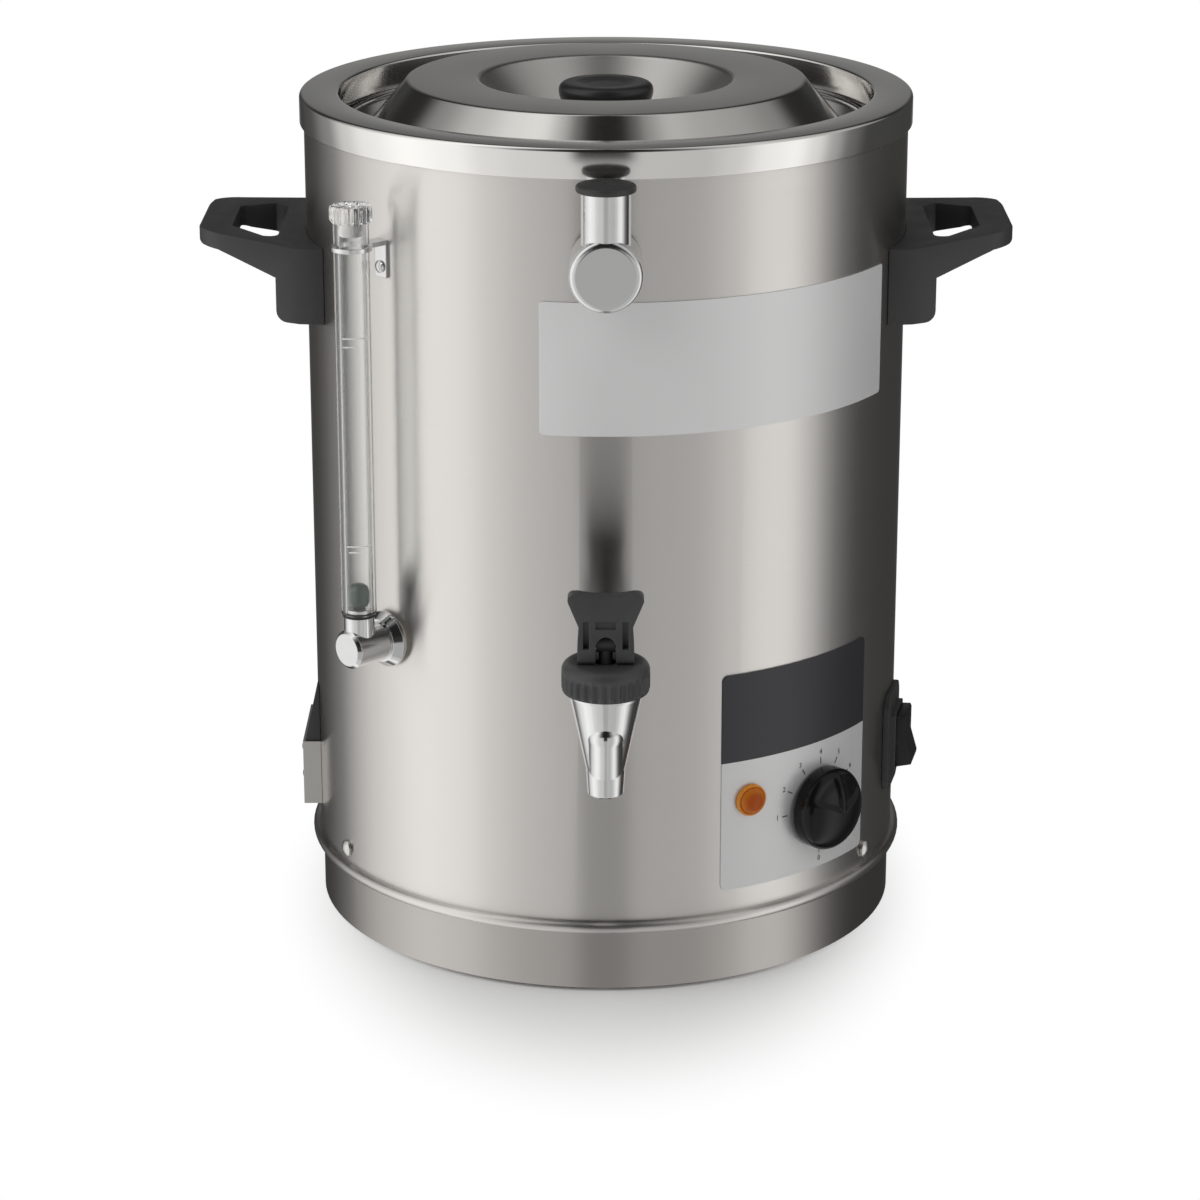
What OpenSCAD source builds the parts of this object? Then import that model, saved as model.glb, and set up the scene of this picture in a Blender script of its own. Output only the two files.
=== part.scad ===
// Hot drink dispenser with a water bath, a lever tap and a sight gauge.
// Z is up, the table is z = 0, the body axis is x = y = 0 and the tap faces -Y.
// Bearings around the body are in degrees from the front, positive towards +X.

/* [Casing] */
// Outer diameter of the casing
casing_d = 280; // [260:1:320]
// Sheet thickness of the casing
casing_wall = 1; // [0.6:0.1:1.6]
// Height of the flat rim above the table
rim_h = 394; // [384:1:440]
// Height of the middle of the bead at the foot of the casing
bead_h = 33; // [28:0.5:36]
// Height of the bead itself
bead_d = 5.5; // [3:0.1:7]
// How far the bead stands out from the casing
bead_out = 3.6; // [2:0.1:5]
// Height of the casing screws
casing_screw_h = 42.5; // [41:0.5:46]
// Bearing of the front pair of casing screws
casing_screw_az = 61; // [50:1:66]

/* [Base] */
// Gap between the table and the lower edge of the skirt
skirt_lift = 2; // [1:0.5:4]
// Height of the upper edge of the skirt inside the casing
skirt_top = 50; // [48:1:56]
// Sheet thickness of skirt and base plate
base_sheet = 1.2; // [0.8:0.1:2]
// Width of the inner flange of the skirt
skirt_flange = 16; // [12:1:20]
// Height of the underside of the base plate
plate_h = 7; // [6:0.5:10]
// Diameter of a rubber foot
foot_d = 26; // [20:1:34]
// Diameter of the circle that the feet stand on
foot_circle = 200; // [160:2:216]

/* [Pot and lid] */
// Width of the water bath between casing and pot
jacket_gap = 20; // [17:0.5:30]
// Sheet thickness of the pot
pot_wall = 1; // [0.6:0.1:1.6]
// Height of the underside of the pot
pot_h = 140; // [138:1:141]
// Radius of the rounded corner at the foot of the pot
pot_corner = 8; // [4:0.5:14]
// Height of the skirt that the rim folds down over the casing
rim_skirt = 13.5; // [8:0.5:18]
// Width of the ledge that carries the lid
ledge_w = 5.6; // [4:0.1:8]
// Depth of the ledge below the rim
ledge_depth = 15.5; // [10:0.5:20]
// Sheet thickness of the lid
lid_sheet = 0.8; // [0.5:0.1:1.5]
// Gap between the edge of the lid and the mouth of the pot
lid_gap = 1.6; // [0.8:0.1:3]
// Width of the flat flange of the lid
lid_flange = 13; // [8:0.5:20]
// Height of the crown of the lid above the ledge
lid_rise = 20; // [12:0.5:30]
// Radial run of the sloping side of the lid
lid_slope = 17; // [10:0.5:24]
// Diameter of the dish at the crown
dish_d = 118; // [90:1:140]
// Diameter of the floor of the dish
dish_floor_d = 72; // [60:1:84]
// Depth of the dish
dish_depth = 27; // [20:0.5:34]
// Diameter of the lid knob
lid_knob_d = 44; // [34:0.5:54]
// Height of the lid knob
lid_knob_h = 25; // [18:0.5:32]
// Diameter of the foot of the lid knob
lid_knob_foot = 26; // [20:0.5:32]

/* [Handles] */
// Drop from the rim to the top of the grip where it meets the casing
handle_below_rim = 63.5; // [54:0.5:94]
// How far a handle stands out from the casing
handle_out = 48; // [42:0.5:70]
// Length of a handle at the casing
handle_len = 111; // [100:1:130]
// Length of a handle at its outer edge
handle_outer_len = 84; // [76:1:100]
// Thickness of the mounting wall of a handle
handle_wall = 11; // [9:0.5:14]
// Width of the grip bar
grip_w = 15; // [11:0.5:18]
// Thickness of the grip bar
grip_t = 7.5; // [5:0.5:9]
// Width of the two cheeks of a handle
cheek_w = 20; // [14:0.5:24]
// How far the mounting wall reaches down from the grip
handle_drop = 36; // [32:0.5:42]
// Rise of the grip from the casing to its outer edge
grip_rise = 4.5; // [0:0.5:8]

/* [Sight gauge] */
// Bearing of the sight gauge
gauge_az = -45; // [-50:1:-40]
// Height of the axis of the gauge elbow
gauge_h = 159; // [154:1:170]
// Distance from casing to the axis of the tube
gauge_out = 18; // [16:0.5:26]
// Outer diameter of the tube
tube_d = 16; // [13:0.5:20]
// Bore of the tube
tube_bore = 11; // [9:0.5:12]
// Drop from the rim to the upper end of the tube
tube_below_rim = 38.5; // [34:0.5:70]
// Drop from the upper end of the tube to the clip that holds it
clip_below_tube = 12.5; // [8:0.5:25]
// Diameter of the barrel of the elbow
elbow_d = 18; // [15:0.5:20]
// Diameter of the rosette
rosette_d = 26; // [23:0.5:34]
// Diameter of the float
float_d = 10; // [7:0.1:10.2]
// Length of the float
float_len = 11.5; // [8:0.5:16]

/* [Filler] */
// Drop from the rim to the axis of the filler
fill_below_rim = 50; // [44:0.5:64]
// Diameter of the filler body
fill_d = 32; // [28:0.5:38]
// Length of the filler body in front of the casing
fill_out = 30; // [27:0.5:38]
// Outer diameter of the upright mouth
mouth_d = 21.6; // [19:0.1:24]
// Bore of the upright mouth
mouth_bore = 16.5; // [13:0.1:17.5]
// Height of the mouth above the axis of the filler
mouth_h = 35; // [26:0.5:42]

/* [Tap] */
// Height of the axis of the outlet above the underside of the pot
outlet_rise = 10; // [9:0.5:11]
// Distance from casing to the upright axis of the tap
tap_out = 50; // [46:0.5:60]
// Outer diameter of the outlet pipe
pipe_d = 21; // [19:0.5:23]
// Bore of the outlet pipe
pipe_bore = 15; // [12:0.5:16]
// Diameter of the tap body at its shoulder
tap_d = 32; // [30:0.5:38]
// Height of the shoulder above the axis of the outlet
shoulder_rise = 15.5; // [14.5:0.5:20]
// Diameter of the nozzle
nozzle_d = 17.4; // [16:0.1:19]
// Length of the nozzle
nozzle_len = 12; // [10:0.5:24]
// Bore of the nozzle
nozzle_bore = 11; // [8:0.5:12]
// Diameter of the bonnet
bonnet_d = 38.5; // [36:0.5:46]
// Height of the bonnet
bonnet_h = 14; // [13:0.5:18]
// Number of flutes around the bonnet
bonnet_flutes = 30; // [18:1:36]
// Height of the lever
lever_h = 30.5; // [27:0.5:36]
// Width of the lever at its wings
lever_w = 33; // [28:0.5:40]
// Diameter of the lever pin
pin_d = 4; // [3:0.1:4.5]
// Diameter of the stem
stem_d = 6; // [5:0.1:7]
// Turns of the tap spring
spring_turns = 7; // [5:1:9]
// Wire diameter of the tap spring
spring_wire = 1.2; // [0.8:0.1:1.5]

/* [Controls] */
// Height of the lower edge of the control panel
panel_low = 46.5; // [46:0.5:50]
// Height of the upper edge of the control panel
panel_high = 151; // [140:1:160]
// Bearing of the left edge of the control panel
panel_left = 22; // [19:0.5:23]
// Bearing of the right edge of the control panel
panel_right = 59; // [56:0.5:64]
// Height of the pilot lamp
lamp_h = 89.5; // [84:0.5:96]
// Bearing of the pilot lamp
lamp_az = 28; // [26:0.5:30]
// Diameter of the pilot lamp
lamp_d = 15; // [12:0.5:17]
// Height of the thermostat knob
dial_h = 77; // [74:0.5:82]
// Bearing of the thermostat knob
dial_az = 45; // [43:0.5:47]
// Diameter of the thermostat knob
dial_d = 39; // [34:0.5:42]
// Depth of the thermostat knob
dial_depth = 15; // [12:0.5:20]
// Diameter of the thermostat spindle
spindle_d = 6; // [5:0.1:7]
// Height of the rocker switch
switch_h = 86.5; // [80:0.5:92]
// Bearing of the rocker switch
switch_az = 77.5; // [75:0.5:90]
// Height of the mounting plate of the switch
switch_plate_h = 48.5; // [46:0.5:56]
// Width of the mounting plate of the switch
switch_plate_w = 34; // [30:0.5:40]
// Length of the rocker
rocker_len = 26; // [24:0.5:32]
// Width of the rocker
rocker_w = 19; // [16:0.5:21]
// Tilt of the rocker either side of level
rocker_tilt = 8; // [5:0.5:9]

/* [Front foil] */
// Gap between the filler and the upper edge of the foil
foil_gap = 2; // [1:0.5:6]
// Height of the foil
foil_height = 60; // [40:1:62]
// Bearing of the left edge of the foil
foil_left = -12; // [-16:0.5:-8]
// Bearing of the right edge of the foil
foil_right = 63; // [40:0.5:64]

/* [Cord entry] */
// Height of the lower edge of the cord housing
cord_low = 49; // [47:0.5:54]
// Height of the cord housing
cord_height = 60; // [50:1:66]
// Width of the cord housing along the casing
cord_w = 50; // [44:1:56]
// How far the cord housing stands out from the casing
cord_out = 5; // [4:0.1:8]
// Height of the steel clamp plate
clamp_height = 32; // [28:0.5:38]
// Bore of the rubber gland in the cord hole
gland_bore = 7; // [5:0.1:8]

/* [Inside] */
// Height of the underside of the floor of the water bath
bath_floor_h = 118; // [116:0.5:120]
// Diameter of the ring of the heating element
heater_ring_d = 170; // [140:1:190]
// Diameter of the tube of the heating element
heater_tube_d = 8.5; // [7:0.1:10]
// Height of the heating element above the floor of the water bath
heater_lift = 10; // [8:0.5:12]

/* [Hidden] */
$fn = 96;

steel = [0.74, 0.73, 0.71];
chrome = [0.82, 0.83, 0.85];
black_plastic = [0.13, 0.13, 0.14];
black_rubber = [0.1, 0.1, 0.1];

// Gap between still pieces that sit against each other on a curve
seat_gap = 0.1;
// Gap between pieces that move past each other
move_gap = 0.3;
// Radial play of a turning pin
pin_play = 0.05;
// Radial play of a screw in its hole
screw_play = 0.15;
// Thickness of a spade terminal
tab_t = 0.8;
// Gap between the end of a wire and its terminal
wire_gap = 0.7;
// Overshoot that lets a cut pass right through
cut = 1;
// How far a cutter reaches to either side of the sheet that it pierces
cut_reach = 10;

casing_r = casing_d / 2;
casing_in_r = casing_r - casing_wall;
casing_top = rim_h - pot_wall - seat_gap;
tap_h = pot_h + outlet_rise;

// Radius at which a flat piece of a given half width meets the casing from inside
function inside_flat(half_w) = sqrt(casing_in_r * casing_in_r - half_w * half_w) - seat_gap;

// Body of revolution from a profile drawn in radius and height
module spin() {
  rotate_extrude()
    children();
}

// Ring with a rectangular section
module ring(r_in, r_out, z_low, z_high) {
  spin()
    translate([r_in, z_low])
      square([r_out - r_in, z_high - z_low]);
}

// Places children at a bearing, with their +Z pointing out of the body and +Y up
module outward(az, r, z) {
  rotate([0, 0, az])
    translate([0, -r, z])
      rotate([90, 0, 0])
        children();
}

// Curved sheet on the casing between two bearings
module wrap(r_in, r_out, z_low, z_high, az_left, az_right) {
  rotate([0, 0, az_left - 90])
    rotate_extrude(angle = az_right - az_left)
      translate([r_in, z_low])
        square([r_out - r_in, z_high - z_low]);
}

// Thin label on the casing with round corners
module label(t, z_low, z_high, az_left, az_right, corner) {
  r = casing_r + seat_gap;
  half_w = r * sin((az_right - az_left) / 2);
  intersection() {
    ring(r, r + t, z_low - cut, z_high + cut);
    outward((az_left + az_right) / 2, 0, (z_low + z_high) / 2)
      linear_extrude(2 * casing_r)
        round_rect(2 * half_w, z_high - z_low, corner);
  }
}

// Straight round hole through the casing
module casing_hole(az, z, d) {
  outward(az, casing_in_r - cut_reach, z)
    cylinder(d = d, h = casing_wall + 2 * cut_reach);
}

// Opening for the switch, with some play all round
module switch_opening(play) {
  outward(switch_az, casing_in_r, switch_h)
    cube([switch_cut_w + 2 * play, switch_cut_h + 2 * play, 2 * cut_reach], center = true);
}

// Cut that makes the back of a piece follow the casing
module casing_cut() {
  cylinder(r = casing_r + seat_gap, h = 2 * rim_h, $fn = 720);
}

// Rectangle with round corners, centred on the origin
module round_rect(w, h, r) {
  square([w - 2 * r, h], center = true);
  square([w, h - 2 * r], center = true);
  for (x = [-1, 1], y = [-1, 1])
    translate([x * (w / 2 - r), y * (h / 2 - r)])
      circle(r = r);
}

// Slot with round ends along Y, centred on the origin
module slot(w, h) {
  square([w, h - w], center = true);
  for (y = [-1, 1])
    translate([0, y * (h - w) / 2])
      circle(d = w);
}

// Screw that points along -Z with its domed head above z = 0
module dome_screw(shank_d, length, head_d, head_h) {
  intersection() {
    cylinder(d = head_d, h = head_h);
    translate([0, 0, head_h - head_d * 0.75])
      sphere(d = head_d * 1.5);
  }
  translate([0, 0, -length])
    cylinder(d = shank_d, h = length + 0.1);
}

// Hexagon nut around a bore, standing on z = 0
module hex_nut(across, h, bore) {
  difference() {
    cylinder(d = across / cos(30), h = h, $fn = 6);
    translate([0, 0, -cut])
      cylinder(d = bore, h = h + 2 * cut);
  }
}

function unit(v) = v / norm(v);
function mix(a, b, t) = a * (1 - t) + b * t;
// Point of a smooth curve that leaves p along a and reaches q along b
function curve_point(p, a, b, q, t) =
  p * pow(1 - t, 3) + (p + a) * 3 * t * pow(1 - t, 2) + (q + b) * 3 * t * t * (1 - t) + q * t * t * t;
function curve(p, a, b, q, steps) = [for (i = [0:steps]) curve_point(p, a, b, q, i / steps)];
// Direction of a path at one of its points
function along(path, i) = unit(path[min(i + 1, len(path) - 1)] - path[max(i - 1, 0)]);
// Side directions carried along the path without twisting
function carry(side, dir) = unit(side - dir * (side * dir));
function first_side(dir) = carry(abs(dir[2]) < 0.9 ? [0, 0, 1] : [1, 0, 0], dir);
function sides_along(path) =
  [for (i = 0, s = first_side(along(path, 0)); i < len(path);
    i = i + 1, s = i < len(path) ? carry(s, along(path, i)) : s) s];

// Round tube swept along a path
module tube(path, d, facets) {
  side = sides_along(path);
  points = [for (i = [0:len(path) - 1]) for (k = [0:facets - 1])
    let (u = side[i], v = cross(along(path, i), u), a = 360 * k / facets)
      path[i] + (u * cos(a) + v * sin(a)) * d / 2];
  last = (len(path) - 1) * facets;
  walls = [for (i = [0:len(path) - 2]) for (k = [0:facets - 1])
    let (n = (k + 1) % facets, low = i * facets, high = low + facets)
      each [[low + k, high + k, high + n], [low + k, high + n, low + n]]];
  ends = [for (k = [1:facets - 2]) each [[0, k, k + 1], [last, last + k + 1, last + k]]];
  polyhedron(points = points, faces = concat(walls, ends));
}

// Casing and base

casing_screw_bearings = [casing_screw_az, 180 - casing_screw_az, 180 + casing_screw_az, -casing_screw_az];
casing_screw_d = 4;
casing_screw_len = 8;
casing_head_d = 8;
casing_head_h = 2.6;
bead_r = casing_r + bead_out - bead_d / 2;
skirt_r = casing_in_r - move_gap;
skirt_in_r = skirt_r - base_sheet;
flange_h = plate_h - base_sheet;
plate_top = plate_h + base_sheet;
plate_screw_r = skirt_r - skirt_flange / 2;
plate_screw_count = 6;
foot_stem_d = 8;
vent_count = 7;
vent_pitch = 10;
vent_w = 4;
vent_len = 30;
vent_y = -55;

module casing() {
  color(steel)
    difference() {
      spin() {
        translate([casing_in_r, bead_h])
          square([casing_wall, casing_top - bead_h]);
        translate([casing_in_r, bead_h - bead_d / 2])
          square([bead_r - casing_in_r, bead_d]);
        intersection() {
          translate([bead_r, bead_h])
            circle(d = bead_d);
          translate([casing_in_r, bead_h - bead_d])
            square([2 * bead_d, 2 * bead_d]);
        }
      }
      for (az = casing_screw_bearings)
        casing_hole(az, casing_screw_h, casing_screw_d + 2 * screw_play);
      casing_hole(0, tap_h, gasket_neck_d + 2 * seat_gap);
      casing_hole(0, fill_h, fill_tail_d + 2 * screw_play);
      casing_hole(gauge_az, gauge_h, gauge_tail_d + 2 * screw_play);
      casing_hole(gauge_az, clip_rivet_h, rivet_d + 2 * screw_play);
      casing_hole(lamp_az, lamp_h, lamp_body_d + 2 * screw_play);
      casing_hole(dial_az, dial_h, spindle_hole_d);
      for (y = [-1, 1])
        casing_hole(dial_az, dial_h + y * dial_screw_pitch / 2, dial_screw_d + 2 * screw_play);
      for (az = [-90, 90], x = [-1, 1])
        outward(az, casing_in_r - handle_out, handle_screw_h)
          translate([x * handle_screw_x, 0, 0])
            cylinder(d = handle_screw_d + 2 * screw_play, h = 2 * handle_out);
      switch_opening(0);
      casing_hole(-90, cord_hole_h, cord_hole_d);
    }
}

// Like screws: four through the casing into the skirt and six under the base plate
module casing_screws() {
  color(chrome) {
    for (az = casing_screw_bearings)
      outward(az, casing_r + seat_gap, casing_screw_h)
        dome_screw(casing_screw_d, casing_screw_len, casing_head_d, casing_head_h);
    for (i = [0:plate_screw_count - 1])
      rotate([0, 0, 30 + i * 360 / plate_screw_count])
        translate([plate_screw_r, 0, flange_h])
          rotate([180, 0, 0])
            dome_screw(casing_screw_d, casing_screw_len, casing_head_d, casing_head_h);
  }
}

module base_skirt() {
  color(steel)
    difference() {
      spin() {
        translate([skirt_in_r, skirt_lift])
          square([base_sheet, skirt_top - skirt_lift]);
        translate([skirt_r - skirt_flange, flange_h])
          square([skirt_flange, base_sheet]);
      }
      for (az = casing_screw_bearings)
        casing_hole(az, casing_screw_h, casing_screw_d + 2 * screw_play);
      switch_opening(1);
      for (i = [0:plate_screw_count - 1])
        rotate([0, 0, 30 + i * 360 / plate_screw_count])
          translate([plate_screw_r, 0, flange_h - cut])
            cylinder(d = casing_screw_d + 2 * screw_play, h = base_sheet + 2 * cut);
    }
}

module base_plate() {
  color(steel)
    difference() {
      translate([0, 0, plate_h])
        cylinder(r = skirt_in_r - move_gap, h = base_sheet);
      for (i = [0:plate_screw_count - 1])
        rotate([0, 0, 30 + i * 360 / plate_screw_count])
          translate([plate_screw_r, 0, plate_h - cut])
            cylinder(d = casing_screw_d + 2 * screw_play, h = base_sheet + 2 * cut);
      for (a = [45:90:315])
        rotate([0, 0, a])
          translate([foot_circle / 2, 0, plate_h - cut])
            cylinder(d = foot_stem_d + 2 * seat_gap, h = base_sheet + 2 * cut);
      for (i = [0:vent_count - 1])
        translate([(i - (vent_count - 1) / 2) * vent_pitch, vent_y, plate_h - cut])
          linear_extrude(base_sheet + 2 * cut)
            slot(vent_w, vent_len);
      for (x = [-1, 1])
        translate([block_x + x * block_screw_x, block_y, plate_h - cut])
          cylinder(d = block_screw_d + 2 * screw_play, h = base_sheet + 2 * cut);
    }
}

module feet() {
  color(black_rubber)
    for (a = [45:90:315])
      rotate([0, 0, a])
        translate([foot_circle / 2, 0, 0])
          spin()
            polygon([[0, 0], [foot_d / 2 - 1, 0], [foot_d / 2, 1], [foot_d / 2, plate_h],
              [foot_stem_d / 2, plate_h], [foot_stem_d / 2, plate_top],
              [foot_stem_d / 2 + 1.5, plate_top], [foot_stem_d / 2 - 1, plate_top + 4], [0, plate_top + 4]]);
}

// Pot, water bath and heater

pot_out_r = casing_in_r - jacket_gap;
pot_in_r = pot_out_r - pot_wall;
mouth_in_r = pot_in_r + ledge_w;
mouth_out_r = mouth_in_r + pot_wall;
rim_gap = 0.9;
rim_out_r = casing_r + rim_gap + pot_wall;
rim_round = 2;
ledge_z = rim_h - ledge_depth;
pipe_end = casing_r + 13;

// Half section of a round-cornered cup, from the axis outwards
module cup_profile(r, z_low, z_high, corner) {
  translate([0, z_low + corner])
    square([r, z_high - z_low - corner]);
  translate([0, z_low])
    square([r - corner, corner + cut]);
  translate([r - corner, z_low + corner])
    circle(r = corner);
}

// Half section of the rim, which turns over the casing with a round edge
module rim_profile() {
  difference() {
    union() {
      translate([mouth_in_r, rim_h - pot_wall])
        square([rim_out_r - rim_round - mouth_in_r, pot_wall]);
      translate([rim_out_r - pot_wall, rim_h - rim_skirt])
        square([pot_wall, rim_skirt - rim_round]);
      intersection() {
        translate([rim_out_r - rim_round, rim_h - rim_round])
          circle(r = rim_round);
        translate([rim_out_r - rim_round, rim_h - rim_round])
          square(rim_round);
      }
    }
    translate([rim_out_r - rim_round, rim_h - rim_round])
      circle(r = rim_round - pot_wall);
  }
}

// Spun rim with the ledge for the lid, welded on top of the pot
module pot_rim() {
  color(steel)
    spin() {
      rim_profile();
      translate([mouth_in_r, ledge_z - pot_wall])
        square([pot_wall, ledge_depth]);
      translate([pot_in_r, ledge_z - pot_wall])
        square([ledge_w + pot_wall, pot_wall]);
    }
}

module inner_pot() {
  color(steel)
    difference() {
      union() {
        spin()
          difference() {
            cup_profile(pot_out_r, pot_h, ledge_z - pot_wall, pot_corner);
            cup_profile(pot_in_r, pot_h + pot_wall, ledge_z + cut, pot_corner - pot_wall);
          }
        difference() {
          outward(0, pot_in_r - 4, tap_h)
            cylinder(d = pipe_d, h = pipe_end - pot_in_r + 4);
          translate([0, 0, pot_h + pot_wall])
            cylinder(r = pot_in_r, h = ledge_z - pot_h);
        }
      }
      outward(0, pot_in_r - pot_corner, tap_h)
        cylinder(d = pipe_bore, h = pipe_end);
    }
}

bath_floor_top = bath_floor_h + 1.2;
bath_lip = 10;
heater_r = heater_ring_d / 2;
heater_z = bath_floor_top + heater_lift;
heater_gap_angle = 30;
heater_leg_low = bath_floor_h - 20;
heater_pin_d = 3;
heater_pin_len = 8;
heater_nut_across = 18;
heater_nut_h = 6;
heater_bearings = [180 - heater_gap_angle / 2, 180 + heater_gap_angle / 2];
sensor_d = 6;
sensor_len = 60;
sensor_drop = 6;
cutout_d = 24;
cutout_h = 12;
cutout_tab_len = 8;
cutout_x = -50;
cutout_y = -30;

module bath_floor() {
  color(steel)
    difference() {
      spin() {
        translate([0, bath_floor_h])
          square([casing_in_r - seat_gap, bath_floor_top - bath_floor_h]);
        translate([casing_in_r - seat_gap - 1, bath_floor_top - bath_lip])
          square([1, bath_lip]);
      }
      for (az = heater_bearings)
        rotate([0, 0, az])
          translate([0, -heater_r, bath_floor_h - cut])
            cylinder(d = heater_tube_d + 2 * screw_play, h = bath_floor_top - bath_floor_h + 2 * cut);
    }
}

module heating_element() {
  color([0.45, 0.43, 0.42]) {
    translate([0, 0, heater_z])
      rotate([0, 0, 90 + heater_gap_angle / 2])
        rotate_extrude(angle = 360 - heater_gap_angle)
          translate([heater_r, 0])
            circle(d = heater_tube_d);
    for (az = heater_bearings)
      rotate([0, 0, az])
        translate([0, -heater_r, 0]) {
          translate([0, 0, heater_leg_low])
            cylinder(d = heater_tube_d, h = heater_z - heater_leg_low);
          translate([0, 0, heater_z])
            sphere(d = heater_tube_d + 2 * move_gap);
          translate([0, 0, heater_leg_low - heater_pin_len])
            cylinder(d = heater_pin_d, h = heater_pin_len + cut);
        }
  }
}

module heater_nuts() {
  color([0.78, 0.66, 0.35])
    for (az = heater_bearings)
      rotate([0, 0, az])
        translate([0, -heater_r, bath_floor_h - heater_nut_h])
          hex_nut(heater_nut_across, heater_nut_h, heater_tube_d + 2 * screw_play);
}

// The bulb lies along X under the floor of the bath in a saddle that hangs from the floor
module sensor_bulb() {
  color([0.72, 0.45, 0.3]) {
    translate([-sensor_len / 2, 20, bath_floor_h - sensor_drop])
      rotate([0, 90, 0])
        cylinder(d = sensor_d, h = sensor_len);
    for (x = [-1, 1])
      translate([x * sensor_len / 3, 20, bath_floor_h - sensor_drop / 2])
        cube([8, sensor_d + 2, sensor_drop], center = true);
    tube(curve([sensor_len / 2 - 1, 20, bath_floor_h - sensor_drop], [30, 0, 0], thermostat_up * 10,
      thermostat_port, 16), 2.2, 8);
  }
}

module safety_cutout() {
  color([0.2, 0.2, 0.22])
    translate([cutout_x, cutout_y, bath_floor_h - cutout_h]) {
      translate([0, 0, cutout_h - 2])
        cylinder(d = cutout_d, h = 2);
      cylinder(d = cutout_d - 8, h = cutout_h - 1);
      for (x = [-1, 1])
        translate([x * 4 - tab_t / 2, -3, -cutout_tab_len])
          cube([tab_t, 6, cutout_tab_len + cut]);
    }
}

// Lid

lid_r = mouth_in_r - lid_gap;
lid_hem_d = 3 * lid_sheet;
lid_foot_r = lid_r - lid_flange;
crown_r = lid_foot_r - lid_slope;
crown_z = ledge_z + lid_sheet + lid_rise;
dish_z = crown_z - dish_depth;
lid_screw_d = 5;
lid_screw_deep = 12;

// Upper line of the lid from its edge to the middle of the dish
function lid_line(drop) = [
  [lid_r - lid_hem_d / 2, ledge_z + lid_sheet - drop], [lid_foot_r, ledge_z + lid_sheet - drop],
  [crown_r, crown_z - drop], [dish_d / 2, crown_z - drop],
  [dish_floor_d / 2, dish_z - drop], [0, dish_z - drop]];
function reversed(list) = [for (i = [len(list) - 1:-1:0]) list[i]];

module lid() {
  color(steel)
    difference() {
      spin() {
        polygon(concat(lid_line(0), reversed(lid_line(lid_sheet))));
        translate([lid_r - lid_hem_d / 2, ledge_z + lid_hem_d / 2])
          circle(d = lid_hem_d);
      }
      translate([0, 0, dish_z - lid_sheet - cut])
        cylinder(d = lid_screw_d + 2 * screw_play, h = lid_sheet + 2 * cut);
    }
}

lid_knob_edge = 4;
lid_knob_wall_steps = 8;
// Radius of the waisted side of the lid knob at a share of its height
function lid_knob_side(t) = mix(lid_knob_foot, lid_knob_d, t * t * (3 - 2 * t)) / 2;
lid_knob_side_h = lid_knob_h - lid_knob_edge;

module lid_knob() {
  color(black_plastic)
    translate([0, 0, dish_z])
      difference() {
        spin() {
          polygon(concat([[0, 0]],
            [for (i = [0:lid_knob_wall_steps])
              let (t = i / lid_knob_wall_steps) [lid_knob_side(t), t * lid_knob_side_h]],
            [[0, lid_knob_side_h]]));
          translate([0, lid_knob_side_h - 1])
            square([lid_knob_d / 2 - lid_knob_edge, lid_knob_edge + 1]);
          intersection() {
            translate([lid_knob_d / 2 - lid_knob_edge, lid_knob_side_h])
              circle(r = lid_knob_edge);
            translate([lid_knob_d / 2 - 2 * lid_knob_edge, lid_knob_side_h - 1])
              square([2 * lid_knob_edge, lid_knob_edge + 1]);
          }
        }
        translate([0, 0, -cut])
          cylinder(d = lid_screw_d, h = lid_screw_deep + cut);
      }
}

module lid_knob_screw() {
  color(chrome)
    translate([0, 0, dish_z - lid_sheet])
      rotate([180, 0, 0])
        dome_screw(lid_screw_d - 2 * pin_play, lid_sheet + lid_screw_deep - 1, 12, 3);
}

// Handles

handle_h = rim_h - handle_below_rim;
handle_corner = 20;
hole_corner = 6;
handle_screw_d = 5;
handle_screw_x = handle_len / 2 - 12;
handle_screw_h = handle_h - handle_drop + 9;
handle_foot_round = 5;
handle_nut_h = 4;
handle_root = 30;
handle_head_seat = 4;
handle_head_d = 9;
handle_head_h = 2.8;
handle_head_hole = handle_head_d + 1;
handle_nut_across = 8;

// Arc points around a centre
function arc(c, r, a_from, a_to, steps) =
  [for (i = [0:steps]) let (a = mix(a_from, a_to, i / steps)) c + r * [cos(a), sin(a)]];

// Outline of a handle from above: wide at the casing, narrower and round-cornered outside
module handle_plan() {
  x_out = casing_r + handle_out;
  y_out = handle_outer_len / 2;
  polygon(concat([[casing_r - handle_root, -handle_len / 2], [casing_r, -handle_len / 2]],
    arc([x_out - handle_corner, -y_out + handle_corner], handle_corner, -75, 0, 8),
    arc([x_out - handle_corner, y_out - handle_corner], handle_corner, 0, 75, 8),
    [[casing_r, handle_len / 2], [casing_r - handle_root, handle_len / 2]]));
}

// Finger hole of a handle from above
module handle_hole_plan() {
  x_in = casing_r + handle_wall;
  x_out = casing_r + handle_out - grip_w;
  y_in = handle_len / 2 - cheek_w - hole_corner;
  y_out = handle_outer_len / 2 - cheek_w + 3 - hole_corner;
  polygon(concat(
    arc([x_in + hole_corner, -y_in], hole_corner, 180, 275, 5),
    arc([x_out - hole_corner, -y_out], hole_corner, 285, 360, 5),
    arc([x_out - hole_corner, y_out], hole_corner, 0, 75, 5),
    arc([x_in + hole_corner, y_in], hole_corner, 85, 180, 5)));
}

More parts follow.
